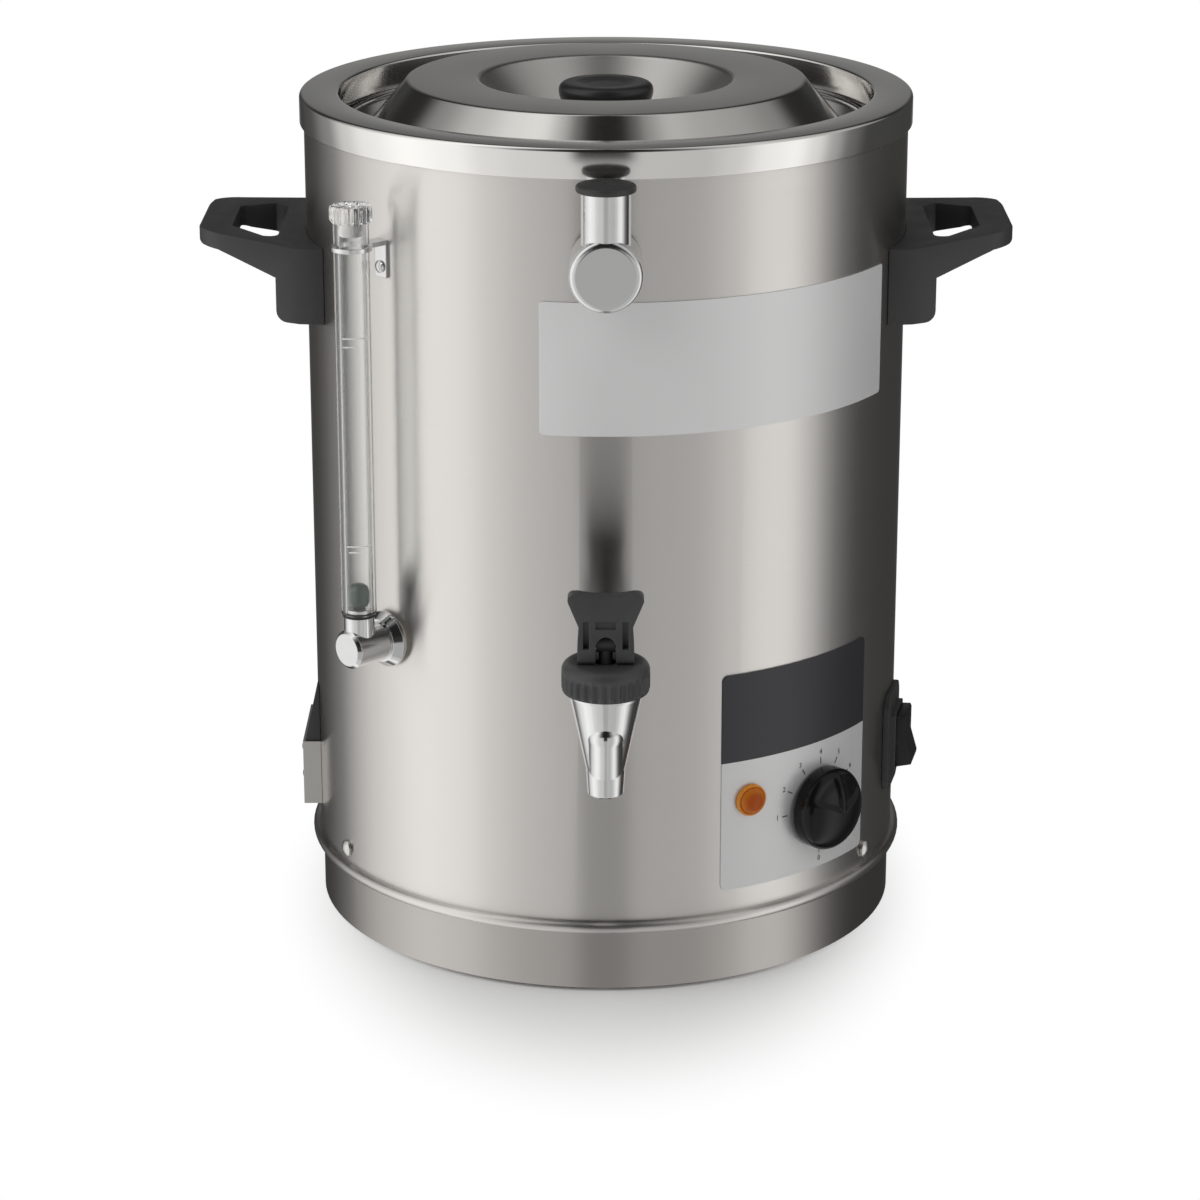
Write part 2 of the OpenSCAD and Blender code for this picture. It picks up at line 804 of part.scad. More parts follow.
// Side outline of a handle: thin grip, sloping cheek and the mounting wall below
module handle_side() {
  foot_z = handle_h - handle_drop;
  polygon(concat([[casing_r - handle_root, foot_z]],
    arc([casing_r + handle_wall - handle_foot_round, foot_z + 1 + handle_foot_round], handle_foot_round, -90, 0, 5),
    [[casing_r + handle_wall, handle_h - handle_drop / 2 + 3.5],
    [casing_r + handle_out - grip_w + 5, handle_h + grip_rise * 0.8 - grip_t],
    [casing_r + handle_out - 2, handle_h + grip_rise - grip_t],
    [casing_r + handle_out + cut, handle_h + grip_rise - grip_t + 1.5],
    [casing_r + handle_out + cut, handle_h + grip_rise - 1.5],
    [casing_r + handle_out - 2, handle_h + grip_rise],
    [casing_r, handle_h],
    [casing_r - handle_root, handle_h]]));
}

module handle() {
  color(black_plastic)
    difference() {
      intersection() {
        translate([0, 0, handle_h - 2 * handle_drop])
          linear_extrude(4 * handle_drop)
            handle_plan();
        translate([0, handle_len, 0])
          rotate([90, 0, 0])
            linear_extrude(2 * handle_len)
              handle_side();
      }
      translate([0, 0, handle_h - 2 * handle_drop])
        linear_extrude(4 * handle_drop)
          handle_hole_plan();
      casing_cut();
      for (x = [-1, 1])
        outward(90, casing_in_r - handle_out, handle_screw_h)
          translate([x * handle_screw_x, 0, 0]) {
            cylinder(d = handle_screw_d + 2 * screw_play, h = 3 * handle_out);
            translate([0, 0, handle_out + casing_wall + handle_wall - handle_head_seat])
              cylinder(d = handle_head_hole, h = handle_out);
          }
    }
}

module handle_right() {
  handle();
}

module handle_left() {
  mirror([1, 0, 0])
    handle();
}

module handle_screws() {
  color(chrome)
    for (az = [-90, 90], x = [-1, 1])
      outward(az, casing_r + handle_wall - handle_head_seat, handle_screw_h)
        translate([x * handle_screw_x, 0, 0])
          dome_screw(handle_screw_d, casing_r + handle_wall - handle_head_seat - handle_nut_r + handle_nut_h + 1,
            handle_head_d, handle_head_h);
}

handle_nut_half = handle_screw_x + handle_nut_across / 2 / cos(30);
handle_nut_r = inside_flat(handle_nut_half);

module handle_nuts() {
  color(chrome)
    for (az = [-90, 90], x = [-1, 1])
      outward(az, handle_nut_r - handle_nut_h, handle_screw_h)
        translate([x * handle_screw_x, 0, 0])
          hex_nut(handle_nut_across, handle_nut_h, handle_screw_d + 2 * pin_play);
}

// Sight gauge

gauge_r = casing_r + gauge_out;
gauge_tail_d = 13;
gauge_bore = 8;
gauge_gasket_t = 1.6;
rosette_t = 5;
gauge_nut_across = 19;
gauge_nut_t = 4;
gauge_nut_r = inside_flat(gauge_nut_across / 2 / cos(30));
gauge_tail_in = gauge_nut_r - gauge_nut_t - 1.5;
gauge_face_r = gauge_r + elbow_d / 2 - 1;
neck_d = 13.8;
neck_top = gauge_h + elbow_d / 2 + 6;
gauge_washer_t = 1.5;
tube_low = neck_top + gauge_washer_t;
tube_top = rim_h - tube_below_rim;
clip_h = tube_top - clip_below_tube;
spigot_top = tube_low + 2;
cap_d = 19.2;
cap_h = 7.5;
cap_plug_len = 6;
cap_flutes = 18;
clip_t = 1.2;
clip_ring_h = 2;
clip_foot_w = 7.4;
clip_foot_h = 17;
rivet_d = 3;
clip_rivet_h = clip_h - clip_foot_h * 0.6;

// Places children on the upright axis of the gauge tube
module at_gauge() {
  rotate([0, 0, gauge_az])
    translate([0, -gauge_r, 0])
      children();
}

module gauge_tube() {
  color([0.85, 0.9, 0.9, 0.45])
    at_gauge()
      ring(tube_bore / 2, tube_d / 2, tube_low, tube_top);
}

module gauge_cap() {
  color(chrome)
    at_gauge()
      difference() {
        union() {
          translate([0, 0, tube_top])
            cylinder(d = cap_d, h = cap_h);
          translate([0, 0, tube_top - cap_plug_len])
            cylinder(d = tube_bore - 2 * seat_gap, h = cap_plug_len + cut);
        }
        for (i = [0:cap_flutes - 1])
          rotate([0, 0, i * 360 / cap_flutes])
            translate([cap_d / 2 + 0.6, 0, tube_top - cut])
              cylinder(r = 1.2, h = cap_h + 2 * cut, $fn = 24);
      }
}

module gauge_clip() {
  color(chrome)
    difference() {
      union() {
        at_gauge()
          ring(tube_d / 2 + seat_gap, tube_d / 2 + seat_gap + clip_t, clip_h, clip_h + clip_ring_h);
        outward(gauge_az, casing_r + 2 * seat_gap, clip_h + clip_ring_h / 2)
          translate([0, 0, (gauge_out - tube_d / 2 - clip_t / 2) / 2])
            cube([clip_foot_w, clip_ring_h, gauge_out - tube_d / 2 - clip_t / 2], center = true);
        wrap(casing_r + seat_gap, casing_r + seat_gap + clip_t, clip_h - clip_foot_h + clip_ring_h, clip_h + clip_ring_h,
          gauge_az - clip_half_angle, gauge_az + clip_half_angle);
      }
      casing_hole(gauge_az, clip_rivet_h, rivet_d + 2 * screw_play);
      at_gauge()
        translate([0, 0, clip_h - cut])
          cylinder(d = tube_d + 2 * seat_gap, h = clip_ring_h + 2 * cut);
    }
}

clip_half_angle = asin(clip_foot_w / 2 / casing_r);

module gauge_clip_rivet() {
  color(chrome)
    outward(gauge_az, casing_r + clip_t + 2 * seat_gap, clip_rivet_h)
      dome_screw(rivet_d, clip_t + casing_wall + 2.5, 5.6, 1.6);
}

module gauge_elbow() {
  color(chrome)
    difference() {
      union() {
        outward(gauge_az, casing_r + gauge_gasket_t + rosette_t, gauge_h)
          rotate_extrude()
            polygon([[0, 0], [elbow_d / 2, 0],
              [elbow_d / 2, gauge_face_r - casing_r - gauge_gasket_t - rosette_t - 1.5],
              [elbow_d / 2 - 1.5, gauge_face_r - casing_r - gauge_gasket_t - rosette_t],
              [0, gauge_face_r - casing_r - gauge_gasket_t - rosette_t]]);
        outward(gauge_az, gauge_tail_in, gauge_h)
          cylinder(d = gauge_tail_d, h = gauge_r - gauge_tail_in);
        at_gauge() {
          translate([0, 0, gauge_h])
            cylinder(d = neck_d, h = neck_top - gauge_h);
          translate([0, 0, gauge_h])
            cylinder(d = tube_bore - 2 * move_gap, h = spigot_top - gauge_h);
        }
      }
      outward(gauge_az, gauge_tail_in - cut, gauge_h)
        cylinder(d = gauge_bore, h = gauge_r - gauge_tail_in + cut);
      at_gauge()
        translate([0, 0, gauge_h])
          cylinder(d = gauge_bore - 2, h = spigot_top - gauge_h + cut);
    }
}

module gauge_rosette() {
  color(chrome)
    outward(gauge_az, casing_r + gauge_gasket_t, gauge_h)
      difference() {
        rotate_extrude()
          polygon([[0, 0], [rosette_d / 2, 0], [rosette_d / 2, 1.5], [elbow_d / 2 + 1, rosette_t], [0, rosette_t]]);
        translate([0, 0, -cut])
          cylinder(d = gauge_tail_d + 2 * screw_play, h = rosette_t + 2 * cut);
      }
}

// Flat rubber washer whose back follows the casing
module casing_gasket(az, z, d, bore, t) {
  color(black_rubber)
    difference() {
      outward(az, casing_r - 4, z)
        difference() {
          cylinder(d = d, h = t + 4);
          translate([0, 0, -cut])
            cylinder(d = bore, h = t + 4 + 2 * cut);
        }
      casing_cut();
    }
}

module gauge_gasket() {
  casing_gasket(gauge_az, gauge_h, rosette_d - 2, gauge_tail_d + 2 * screw_play, gauge_gasket_t);
}

module gauge_washer() {
  color(black_rubber)
    at_gauge()
      ring(tube_bore / 2, tube_d / 2 - 0.5, neck_top, tube_low);
}

module gauge_nut() {
  color([0.78, 0.66, 0.35])
    outward(gauge_az, gauge_nut_r - gauge_nut_t, gauge_h)
      hex_nut(gauge_nut_across, gauge_nut_t, gauge_tail_d + 2 * pin_play);
}

float_low = spigot_top + move_gap;
float_round = float_d / 2 - 1;

module gauge_float() {
  color([0.1, 0.25, 0.16])
    at_gauge()
      translate([0, 0, float_low])
        spin()
          intersection() {
            union() {
              translate([0, float_round])
                square([float_d / 2, float_len - 2 * float_round]);
              square([1, float_len]);
              for (z = [float_round, float_len - float_round])
                translate([1, z])
                  circle(r = float_round);
            }
            square([float_d, float_len]);
          }
}

// Filler

fill_h = rim_h - fill_below_rim;
fill_gasket_t = 2;
fill_tail_d = 22;
fill_bore = 15;
fill_nut_across = 30;
fill_nut_t = 5;
fill_nut_r = inside_flat(fill_nut_across / 2 / cos(30));
fill_tail_in = fill_nut_r - fill_nut_t - 1;
fill_round = 3;
fill_r = casing_r + fill_out - mouth_d / 2 - 0.5;
mouth_top = fill_h + mouth_h;
plug_stem = 14;
plug_ring_d = 26;
plug_ring_h = 3;
plug_dome = 1;
plug_dimple_d = 5;
plug_dimple = 0.8;

module fill_elbow() {
  body_len = fill_out - fill_gasket_t;
  color(chrome)
    difference() {
      union() {
        outward(0, casing_r + fill_gasket_t, fill_h)
          rotate_extrude() {
            square([fill_d / 2, body_len - fill_round]);
            square([fill_d / 2 - fill_round, body_len]);
            translate([fill_d / 2 - fill_round, body_len - fill_round])
              circle(r = fill_round);
          }
        outward(0, fill_tail_in, fill_h)
          cylinder(d = fill_tail_d, h = casing_r + fill_gasket_t - fill_tail_in + cut);
        translate([0, -fill_r, fill_h])
          cylinder(d = mouth_d, h = mouth_h);
      }
      outward(0, fill_tail_in - cut, fill_h)
        cylinder(d = fill_bore, h = fill_r - fill_tail_in + cut);
      translate([0, -fill_r, fill_h])
        cylinder(d = mouth_bore, h = mouth_h + cut);
    }
}

module fill_gasket() {
  casing_gasket(0, fill_h, fill_d - 1, fill_tail_d + 2 * screw_play, fill_gasket_t);
}

module fill_nut() {
  color([0.78, 0.66, 0.35])
    outward(0, fill_nut_r - fill_nut_t, fill_h)
      hex_nut(fill_nut_across, fill_nut_t, fill_tail_d + 2 * pin_play);
}

// Rubber plug with a broad, slightly domed cap and a dimple in the middle of it
module fill_plug() {
  cap_top = plug_ring_h + plug_dome;
  stem_r = mouth_bore / 2 - move_gap;
  color(black_rubber)
    translate([0, -fill_r, mouth_top])
      spin()
        polygon([[0, -plug_stem], [stem_r - 1, -plug_stem], [stem_r, -plug_stem + 3], [stem_r, 0],
          [plug_ring_d / 2 - 0.8, 0], [plug_ring_d / 2, 0.8], [plug_ring_d / 2, plug_ring_h - 1],
          [plug_ring_d / 2 - 1, plug_ring_h], [plug_ring_d / 4, cap_top], [plug_dimple_d / 2, cap_top],
          [plug_dimple_d / 2 - 1, cap_top - plug_dimple], [0, cap_top - plug_dimple]]);
}

// Tap

tap_r = casing_r + tap_out;
gasket_neck_d = pipe_d + 3;
tap_gasket_t = 2.5;
union_d = 28;
union_low = casing_r + tap_gasket_t + 0.5;
union_high = pipe_end + 7;
tail_flange_t = 3;
tail_d = 18;
shoulder_z = tap_h + shoulder_rise;
seat_z = tap_h - 7;
nozzle_top = tap_h - 20;
nozzle_low = nozzle_top - nozzle_len;
chamber_d = 17;
boss_d = 16;
boss_out = 7;
boss_rise = 17;
boss_root = 3;
bonnet_neck_d = 27;
bonnet_neck_h = 9;
bonnet_low = shoulder_z + seat_gap;
bonnet_top = bonnet_low + bonnet_h;
pin_rise = 8;
pin_z = bonnet_top + pin_rise;
eye_d = pin_d + 4;
eye_w = 8.4;
slot_w = eye_w + 2 * move_gap;
way_top = pin_z + eye_d / 2 + move_gap;
fork_w = 24.6;
waist_w = 23.4;
wing_h = 14.5;
wing_tip = 2.6;
foot_half = 7;
hollow_x = 8.5;
hollow_w = 2.7;
hollow_floor = 2.8;
hollow_low = pin_z - 0.8;
hollow_top = pin_z + 10.7;
bridge_h = 3.1;
cup_h = 8;
cup_d = 15;

// Places children on the upright axis of the tap
module at_tap() {
  translate([0, -tap_r, 0])
    children();
}

module tap_body() {
  color(chrome)
    difference() {
      union() {
        at_tap() {
          spin()
            polygon([[0, nozzle_low], [nozzle_d / 2 - 1.5, nozzle_low], [nozzle_d / 2 - 0.7, nozzle_low + 0.8],
              [nozzle_d / 2, nozzle_top], [tap_d / 2, shoulder_z - 1.5], [tap_d / 2, shoulder_z],
              [bonnet_neck_d / 2, shoulder_z], [bonnet_neck_d / 2, shoulder_z + bonnet_neck_h],
              [0, shoulder_z + bonnet_neck_h]]);
          translate([0, 0, nozzle_top - boss_root])
            rotate([atan2(boss_out, boss_rise + boss_root), 0, 0])
              cylinder(d = boss_d, h = norm([boss_out, boss_rise + boss_root]));
          translate([0, -boss_out, nozzle_top + boss_rise])
            sphere(d = boss_d);
        }
        outward(0, pipe_end + seat_gap, tap_h) {
          cylinder(d = pipe_d + 3, h = tail_flange_t);
          cylinder(d = tail_d, h = tap_out - (pipe_end - casing_r));
        }
      }
      at_tap() {
        translate([0, 0, seat_z])
          cylinder(d = chamber_d, h = shoulder_z + bonnet_neck_h);
        translate([0, 0, nozzle_low - cut])
          cylinder(d = nozzle_bore, h = tap_h);
      }
      outward(0, pipe_end - cut, tap_h)
        cylinder(d = pipe_bore - 2, h = tap_out - (pipe_end - casing_r) + cut);
    }
}

// Rubber grommet in the hole of the casing, with a flange outside
module tap_gasket() {
  color(black_rubber)
    difference() {
      union() {
        difference() {
          outward(0, casing_r - 4, tap_h)
            cylinder(d = union_d + 2, h = tap_gasket_t + 4);
          casing_cut();
        }
        outward(0, casing_in_r - 3, tap_h)
          cylinder(d = gasket_neck_d, h = casing_wall + 4);
      }
      casing_hole(0, tap_h, pipe_d + 2 * seat_gap);
    }
}

module tap_union_nut() {
  color(chrome)
    outward(0, union_low, tap_h)
      difference() {
        rotate_extrude()
          polygon([[0, 0], [union_d / 2 - 1, 0], [union_d / 2, 1], [union_d / 2, union_high - union_low - 3],
            [union_d / 2 - 3, union_high - union_low], [0, union_high - union_low]]);
        translate([0, 0, -cut])
          cylinder(d = pipe_d + 2 * seat_gap, h = pipe_end - union_low + cut);
        translate([0, 0, pipe_end - union_low - 0.01])
          cylinder(d = pipe_d + 3 + 2 * seat_gap, h = tail_flange_t + 3 * seat_gap);
        cylinder(d = tail_d + 2 * seat_gap, h = union_high);
      }
}

module tap_bonnet() {
  color(black_plastic)
    at_tap()
      difference() {
        spin()
          polygon([[0, bonnet_low], [bonnet_d / 2 - 2, bonnet_low], [bonnet_d / 2, bonnet_low + 2],
            [bonnet_d / 2, bonnet_top - 2.5], [bonnet_d / 2 - 3, bonnet_top], [0, bonnet_top]]);
        translate([0, 0, bonnet_low - cut])
          cylinder(d = bonnet_neck_d + 2 * seat_gap, h = bonnet_neck_h + cut);
        cylinder(d = stem_d + 2 * move_gap, h = 2 * rim_h);
        for (i = [0:bonnet_flutes - 1])
          rotate([0, 0, i * 360 / bonnet_flutes])
            translate([bonnet_d / 2 + 0.7, 0, bonnet_low - cut])
              cylinder(r = 1.5, h = bonnet_h + 2 * cut, $fn = 24);
      }
}

// Front outline of the lever: two fork legs, a waist and two wings with a hollow top edge
module lever_front() {
  foot_z = bonnet_top + move_gap;
  wing_z = foot_z + lever_h;
  hollow_r = 60;
  difference() {
    polygon(concat(
      [[-fork_w / 2, foot_z], [fork_w / 2, foot_z], [fork_w / 2, foot_z + 6], [waist_w / 2, wing_z - wing_h]],
      arc([lever_w / 2 - wing_tip, wing_z - wing_tip], wing_tip, -25, 90, 6),
      arc([wing_tip - lever_w / 2, wing_z - wing_tip], wing_tip, 90, 205, 6),
      [[-waist_w / 2, wing_z - wing_h], [-fork_w / 2, foot_z + 6]]));
    translate([-slot_w / 2, foot_z - cut])
      square([slot_w, way_top - slot_w / 2 - foot_z + cut]);
    translate([0, way_top - slot_w / 2])
      circle(d = slot_w);
    translate([0, wing_z - 1.2 + hollow_r])
      circle(r = hollow_r);
  }
}

// Room for the eye of the stem behind the arched mouth, and hollows in the front beside and above it
module lever_hollows() {
  translate([-slot_w / 2 - 0.2, -eye_d / 2 - move_gap, hollow_low])
    cube([slot_w + 0.4, 2 * foot_half, way_top - hollow_low]);
  for (side = [-1, 1])
    translate([side * hollow_x - hollow_w / 2, -2 * foot_half, hollow_low])
      cube([hollow_w, 2 * foot_half - hollow_floor, hollow_top - hollow_low]);
  translate([-slot_w / 2, -2 * foot_half, way_top + bridge_h])
    cube([slot_w, 2 * foot_half - hollow_floor, hollow_top - way_top - bridge_h]);
}

// Side outline of the lever: a round-cornered foot that rolls on the bonnet, and a slim blade
module lever_side() {
  foot_z = bonnet_top + move_gap;
  foot_round = 2;
  polygon(concat(
    arc([-foot_half + foot_round, foot_z + foot_round], foot_round, 270, 180, 5),
    [[-foot_half, pin_z], [-4.4, pin_z + eye_d / 2 + 3], [-3.4, foot_z + lever_h + cut],
    [3.4, foot_z + lever_h + cut], [4.4, pin_z + eye_d / 2 + 3], [foot_half, pin_z]],
    arc([foot_half - foot_round, foot_z + foot_round], foot_round, 0, -90, 5)));
}

module tap_lever() {
  color(black_plastic)
    at_tap()
      difference() {
        intersection() {
          translate([0, foot_half + cut, 0])
            rotate([90, 0, 0])
              linear_extrude(2 * foot_half + 2 * cut)
                lever_front();
          translate([-lever_w, 0, 0])
            rotate([90, 0, 90])
              linear_extrude(2 * lever_w)
                lever_side();
        }
        translate([-lever_w, 0, pin_z])
          rotate([0, 90, 0])
            cylinder(d = pin_d + 2 * pin_play, h = 2 * lever_w);
        lever_hollows();
      }
}

module tap_pin() {
  color(chrome)
    at_tap()
      translate([-fork_w / 2 + 0.5, 0, pin_z])
        rotate([0, 90, 0])
          cylinder(d = pin_d, h = fork_w - 1);
}

module tap_stem() {
  color(chrome)
    at_tap()
      difference() {
        union() {
          translate([0, 0, seat_z + cup_h / 2])
            cylinder(d = stem_d, h = pin_z - seat_z - cup_h / 2);
          translate([-eye_w / 2, 0, pin_z])
            rotate([0, 90, 0])
              cylinder(d = eye_d, h = eye_w);
        }
        translate([-eye_w, 0, pin_z])
          rotate([0, 90, 0])
            cylinder(d = pin_d + 2 * pin_play, h = 2 * eye_w);
      }
}

module tap_seat_cup() {
  color([0.8, 0.78, 0.75])
    at_tap()
      difference() {
        translate([0, 0, seat_z])
          spin()
            polygon([[0, 0], [cup_d / 2, 0], [cup_d / 2, 3], [stem_d / 2 + 2, cup_h], [0, cup_h]]);
        translate([0, 0, seat_z + cup_h / 2])
          cylinder(d = stem_d + 2 * pin_play, h = cup_h);
      }
}

spring_low = seat_z + cup_h + move_gap;
spring_high = shoulder_z + bonnet_neck_h - 0.3;
spring_d = 12;
spring_steps = 8;
spring_rise = spring_high - spring_low - spring_wire;
spring_path = [for (i = [0:spring_turns * spring_steps])
  let (t = i / (spring_turns * spring_steps))
    [spring_d / 2 * cos(360 * spring_turns * t), spring_d / 2 * sin(360 * spring_turns * t),
    spring_low + spring_wire / 2 + spring_rise * t]];
// Least distance between points of the wire that lie at least half a turn apart along it
spring_gap = min([for (i = [0:len(spring_path) - 1]) for (k = [i + spring_steps / 2:len(spring_path) - 1])
  norm(spring_path[i] - spring_path[k])]) - spring_wire;
echo(tap_spring_least_gap = spring_gap);

module tap_spring() {
  color(chrome)
    at_tap()
      tube(spring_path, spring_wire, 6);
}

// Controls

panel_t = 0.5;
panel_corner = 3;
panel_face = casing_r + seat_gap + panel_t;
foil_t = 0.3;
foil_corner = 1.5;
foil_high = fill_h - fill_d / 2 - foil_gap;
foil_low = foil_high - foil_height;
spindle_hole_d = 10;
dial_screw_pitch = 28;
dial_screw_d = 3.5;
dial_low = panel_face + 0.8;
dial_skirt = 2;
dial_hub_d = spindle_d + 5;
dial_hollow = 6;
spindle_in = 7;
spindle_len_out = 11;
thermostat_w = 34;
thermostat_h = 44;
thermostat_deep = 28;
thermostat_face = inside_flat(thermostat_w / 2);
thermostat_dir = [sin(dial_az), -cos(dial_az), 0];
thermostat_up = [0, 0, 1];
thermostat_port = thermostat_dir * (thermostat_face - 14) + [0, 0, dial_h + thermostat_h / 2 + wire_gap];

module control_panel() {
  color([0.5, 0.51, 0.52])
    difference() {
      label(panel_t, panel_low, panel_high, panel_left, panel_right, panel_corner);
      casing_hole(lamp_az, lamp_h, lamp_body_d + 2 * screw_play);
      casing_hole(dial_az, dial_h, spindle_hole_d);
      for (y = [-1, 1])
        casing_hole(dial_az, dial_h + y * dial_screw_pitch / 2, dial_screw_d + 2 * screw_play);
    }
}

module front_foil() {
  color([0.78, 0.78, 0.79])
    label(foil_t, foil_low, foil_high, foil_left, foil_right, foil_corner);
}

lamp_body_d = 11.5;
lamp_flange_t = 2;
lamp_dome_h = 3.5;
lamp_low = panel_face + seat_gap;
lamp_deep = 26;
lamp_tab_len = 7;
lamp_nut_across = 17;
lamp_nut_t = 4;
lamp_nut_r = inside_flat(lamp_nut_across / 2 / cos(30));
lamp_dome_r = (lamp_d * lamp_d / 4 + lamp_dome_h * lamp_dome_h) / (2 * lamp_dome_h);

module pilot_lens() {
  color([0.95, 0.42, 0.08])
    outward(lamp_az, lamp_low, lamp_h)
      union() {
        cylinder(d = lamp_d, h = lamp_flange_t);
        intersection() {
          translate([0, 0, lamp_flange_t + lamp_dome_h - lamp_dome_r])
            sphere(r = lamp_dome_r);
          cylinder(d = lamp_d, h = lamp_flange_t + lamp_dome_h);
        }
      }
}

module pilot_body() {
  color([0.9, 0.9, 0.88])
    outward(lamp_az, lamp_low - lamp_deep, lamp_h) {
      cylinder(d = lamp_body_d, h = lamp_deep);
      for (x = [-1, 1])
        translate([x * 3 - tab_t / 2, -2.4, -lamp_tab_len])
          cube([tab_t, 4.8, lamp_tab_len + cut]);
    }
}

module pilot_nut() {
  color([0.3, 0.3, 0.3])
    outward(lamp_az, lamp_nut_r - lamp_nut_t, lamp_h)
      hex_nut(lamp_nut_across, lamp_nut_t, lamp_body_d + 2 * pin_play);
}

// Knob with a hollow back, a half-round grip below and a pointer rib that reaches the upper edge
module thermostat_knob() {
  r = dial_d / 2;
  rib_w = 7;
  scoop_deep = dial_depth * 0.45;
  color(black_plastic)
    outward(dial_az, dial_low, dial_h)
      difference() {
        rotate_extrude() {
          polygon([[0, 0], [r, 0], [r, dial_skirt], [r - 1, dial_skirt + 0.6], [r - 2.4, dial_depth - 1.6],
            [r - 4, dial_depth], [0, dial_depth]]);
        }
        for (x = [-1, 1])
          translate([x * (rib_w / 2 + r), r * 0.28, dial_depth - scoop_deep])
            linear_extrude(dial_depth)
              intersection() {
                translate([0, r])
                  square(2 * r, center = true);
                translate([0, r * 0.35])
                  circle(r = r);
              }
        translate([0, 0, -cut])
          difference() {
            cylinder(d = dial_d - 5, h = dial_hollow + cut);
            cylinder(d = dial_hub_d, h = dial_hollow + cut);
          }
        translate([0, 0, -cut])
          cylinder(d = spindle_d + 2 * pin_play, h = spindle_len_out - (dial_low - casing_r) + cut);
      }
}

module thermostat_spindle() {
  color(chrome)
    outward(dial_az, thermostat_face - spindle_in, dial_h)
      cylinder(d = spindle_d, h = casing_r + spindle_len_out - thermostat_face + spindle_in);
}

module thermostat_body() {
  color([0.82, 0.8, 0.74])
    outward(dial_az, thermostat_face - thermostat_deep, dial_h)
      difference() {
        union() {
          translate([-thermostat_w / 2, -thermostat_h / 2, 0])
            cube([thermostat_w, thermostat_h, thermostat_deep]);
          for (x = [-1, 1])
            translate([x * 9 - tab_t / 2, -thermostat_h / 2 - 8, 6])
              cube([tab_t, 9, 6]);
        }
        translate([0, 0, thermostat_deep - spindle_in])
          cylinder(d = spindle_d + 2 * pin_play, h = spindle_in + cut);
        for (y = [-1, 1])
          translate([0, y * dial_screw_pitch / 2, thermostat_deep - 8])
            cylinder(d = dial_screw_d, h = 8 + cut);
      }
}

module thermostat_screws() {
  color(chrome)
    for (y = [-1, 1])
      outward(dial_az, panel_face + seat_gap, dial_h + y * dial_screw_pitch / 2)
        dome_screw(dial_screw_d - 2 * pin_play, panel_face - thermostat_face + 6, 6.4, 1.8);
}

switch_cut_w = 22;
switch_cut_h = 30;
switch_plate_out = 1.8;
switch_plate_r = casing_r + switch_plate_out;
switch_frame_out = 2.6;
switch_frame_wall = 1.6;
rocker_gap = 0.5;
rocker_pivot_r = switch_plate_r + 1.2;
rocker_stub_d = 2.4;
rocker_stub_len = 1;
rocker_waist = 6;
rocker_end = 7.2;
switch_deep = 26;
switch_tab_len = 8;

// Curved-back plate against the casing, with a raised frame around the rocker
module switch_plate() {
  color(black_plastic)
    difference() {
      union() {
        outward(switch_az, casing_r - 8, switch_h)
          linear_extrude(8 + switch_plate_out)
            round_rect(switch_plate_w, switch_plate_h, 8);
        outward(switch_az, switch_plate_r - cut, switch_h)
          linear_extrude(switch_frame_out + cut)
            round_rect(rocker_w + 2 * (rocker_gap + switch_frame_wall),
              rocker_len + 2 * (rocker_gap + switch_frame_wall), 2);
      }
      casing_cut();
      outward(switch_az, casing_r - 10, switch_h)
        linear_extrude(40)
          square([rocker_w + 2 * rocker_gap, rocker_len + 2 * rocker_gap], center = true);
      outward(switch_az, rocker_pivot_r, switch_h)
        translate([-rocker_w, 0, 0])
          rotate([0, 90, 0])
            translate([0, 0, rocker_w / 2 - rocker_gap - rocker_stub_len - seat_gap])
              cylinder(d = rocker_stub_d + 2 * pin_play,
                h = rocker_w + 2 * (rocker_gap + rocker_stub_len + seat_gap));
    }
}

// Rocker with two shallow faces, resting with its lower end out
module switch_rocker() {
  half = rocker_len / 2;
  color(black_plastic)
    outward(switch_az, rocker_pivot_r, switch_h)
      rotate([-rocker_tilt, 0, 0]) {
        translate([-rocker_w / 2, 0, 0])
          rotate([90, 0, 90])
            linear_extrude(rocker_w)
              polygon([[-half, 0.4], [-half + 0.6, rocker_end], [-half + 2, rocker_end + 0.4], [0, rocker_waist],
                [half - 2, rocker_end + 0.4], [half - 0.6, rocker_end], [half, 0.4], [4, -1.6], [-4, -1.6]]);
        translate([-rocker_w / 2 - rocker_gap - rocker_stub_len, 0, 0])
          rotate([0, 90, 0])
            cylinder(d = rocker_stub_d, h = rocker_w + 2 * (rocker_gap + rocker_stub_len));
      }
}

module switch_body() {
  top_r = sqrt(casing_r * casing_r - switch_cut_w * switch_cut_w / 4);
  color([0.18, 0.18, 0.19])
    outward(switch_az, casing_in_r - switch_deep, switch_h) {
      translate([0, 0, (top_r - casing_in_r + switch_deep) / 2])
        cube([switch_cut_w - 1.2, switch_cut_h - 1.2, top_r - casing_in_r + switch_deep], center = true);
      for (x = [-1, 1], y = [-1, 1])
        translate([x * 5 - tab_t / 2, y * 7 - 3, -switch_tab_len])
          cube([tab_t, 6, switch_tab_len + cut]);
    }
}

// Cord entry and wiring

cord_hole_h = cord_low + clamp_height / 2;
cord_hole_d = gland_bore + 5;
cord_plate_t = 1.2;
cord_fold = 8;
cord_wedge_low = clamp_height + 1;
clamp_screw_pitch = 14;
clamp_screw_d = 3.5;
clamp_screw_x = 8;
gland_d = cord_hole_d + 3;
gland_t = 1.5;
gland_in_r = inside_flat(gland_d / 2);
cord_path_d = gland_bore;
cord_path_r = casing_r + cord_out - cord_plate_t - cord_path_d / 2;

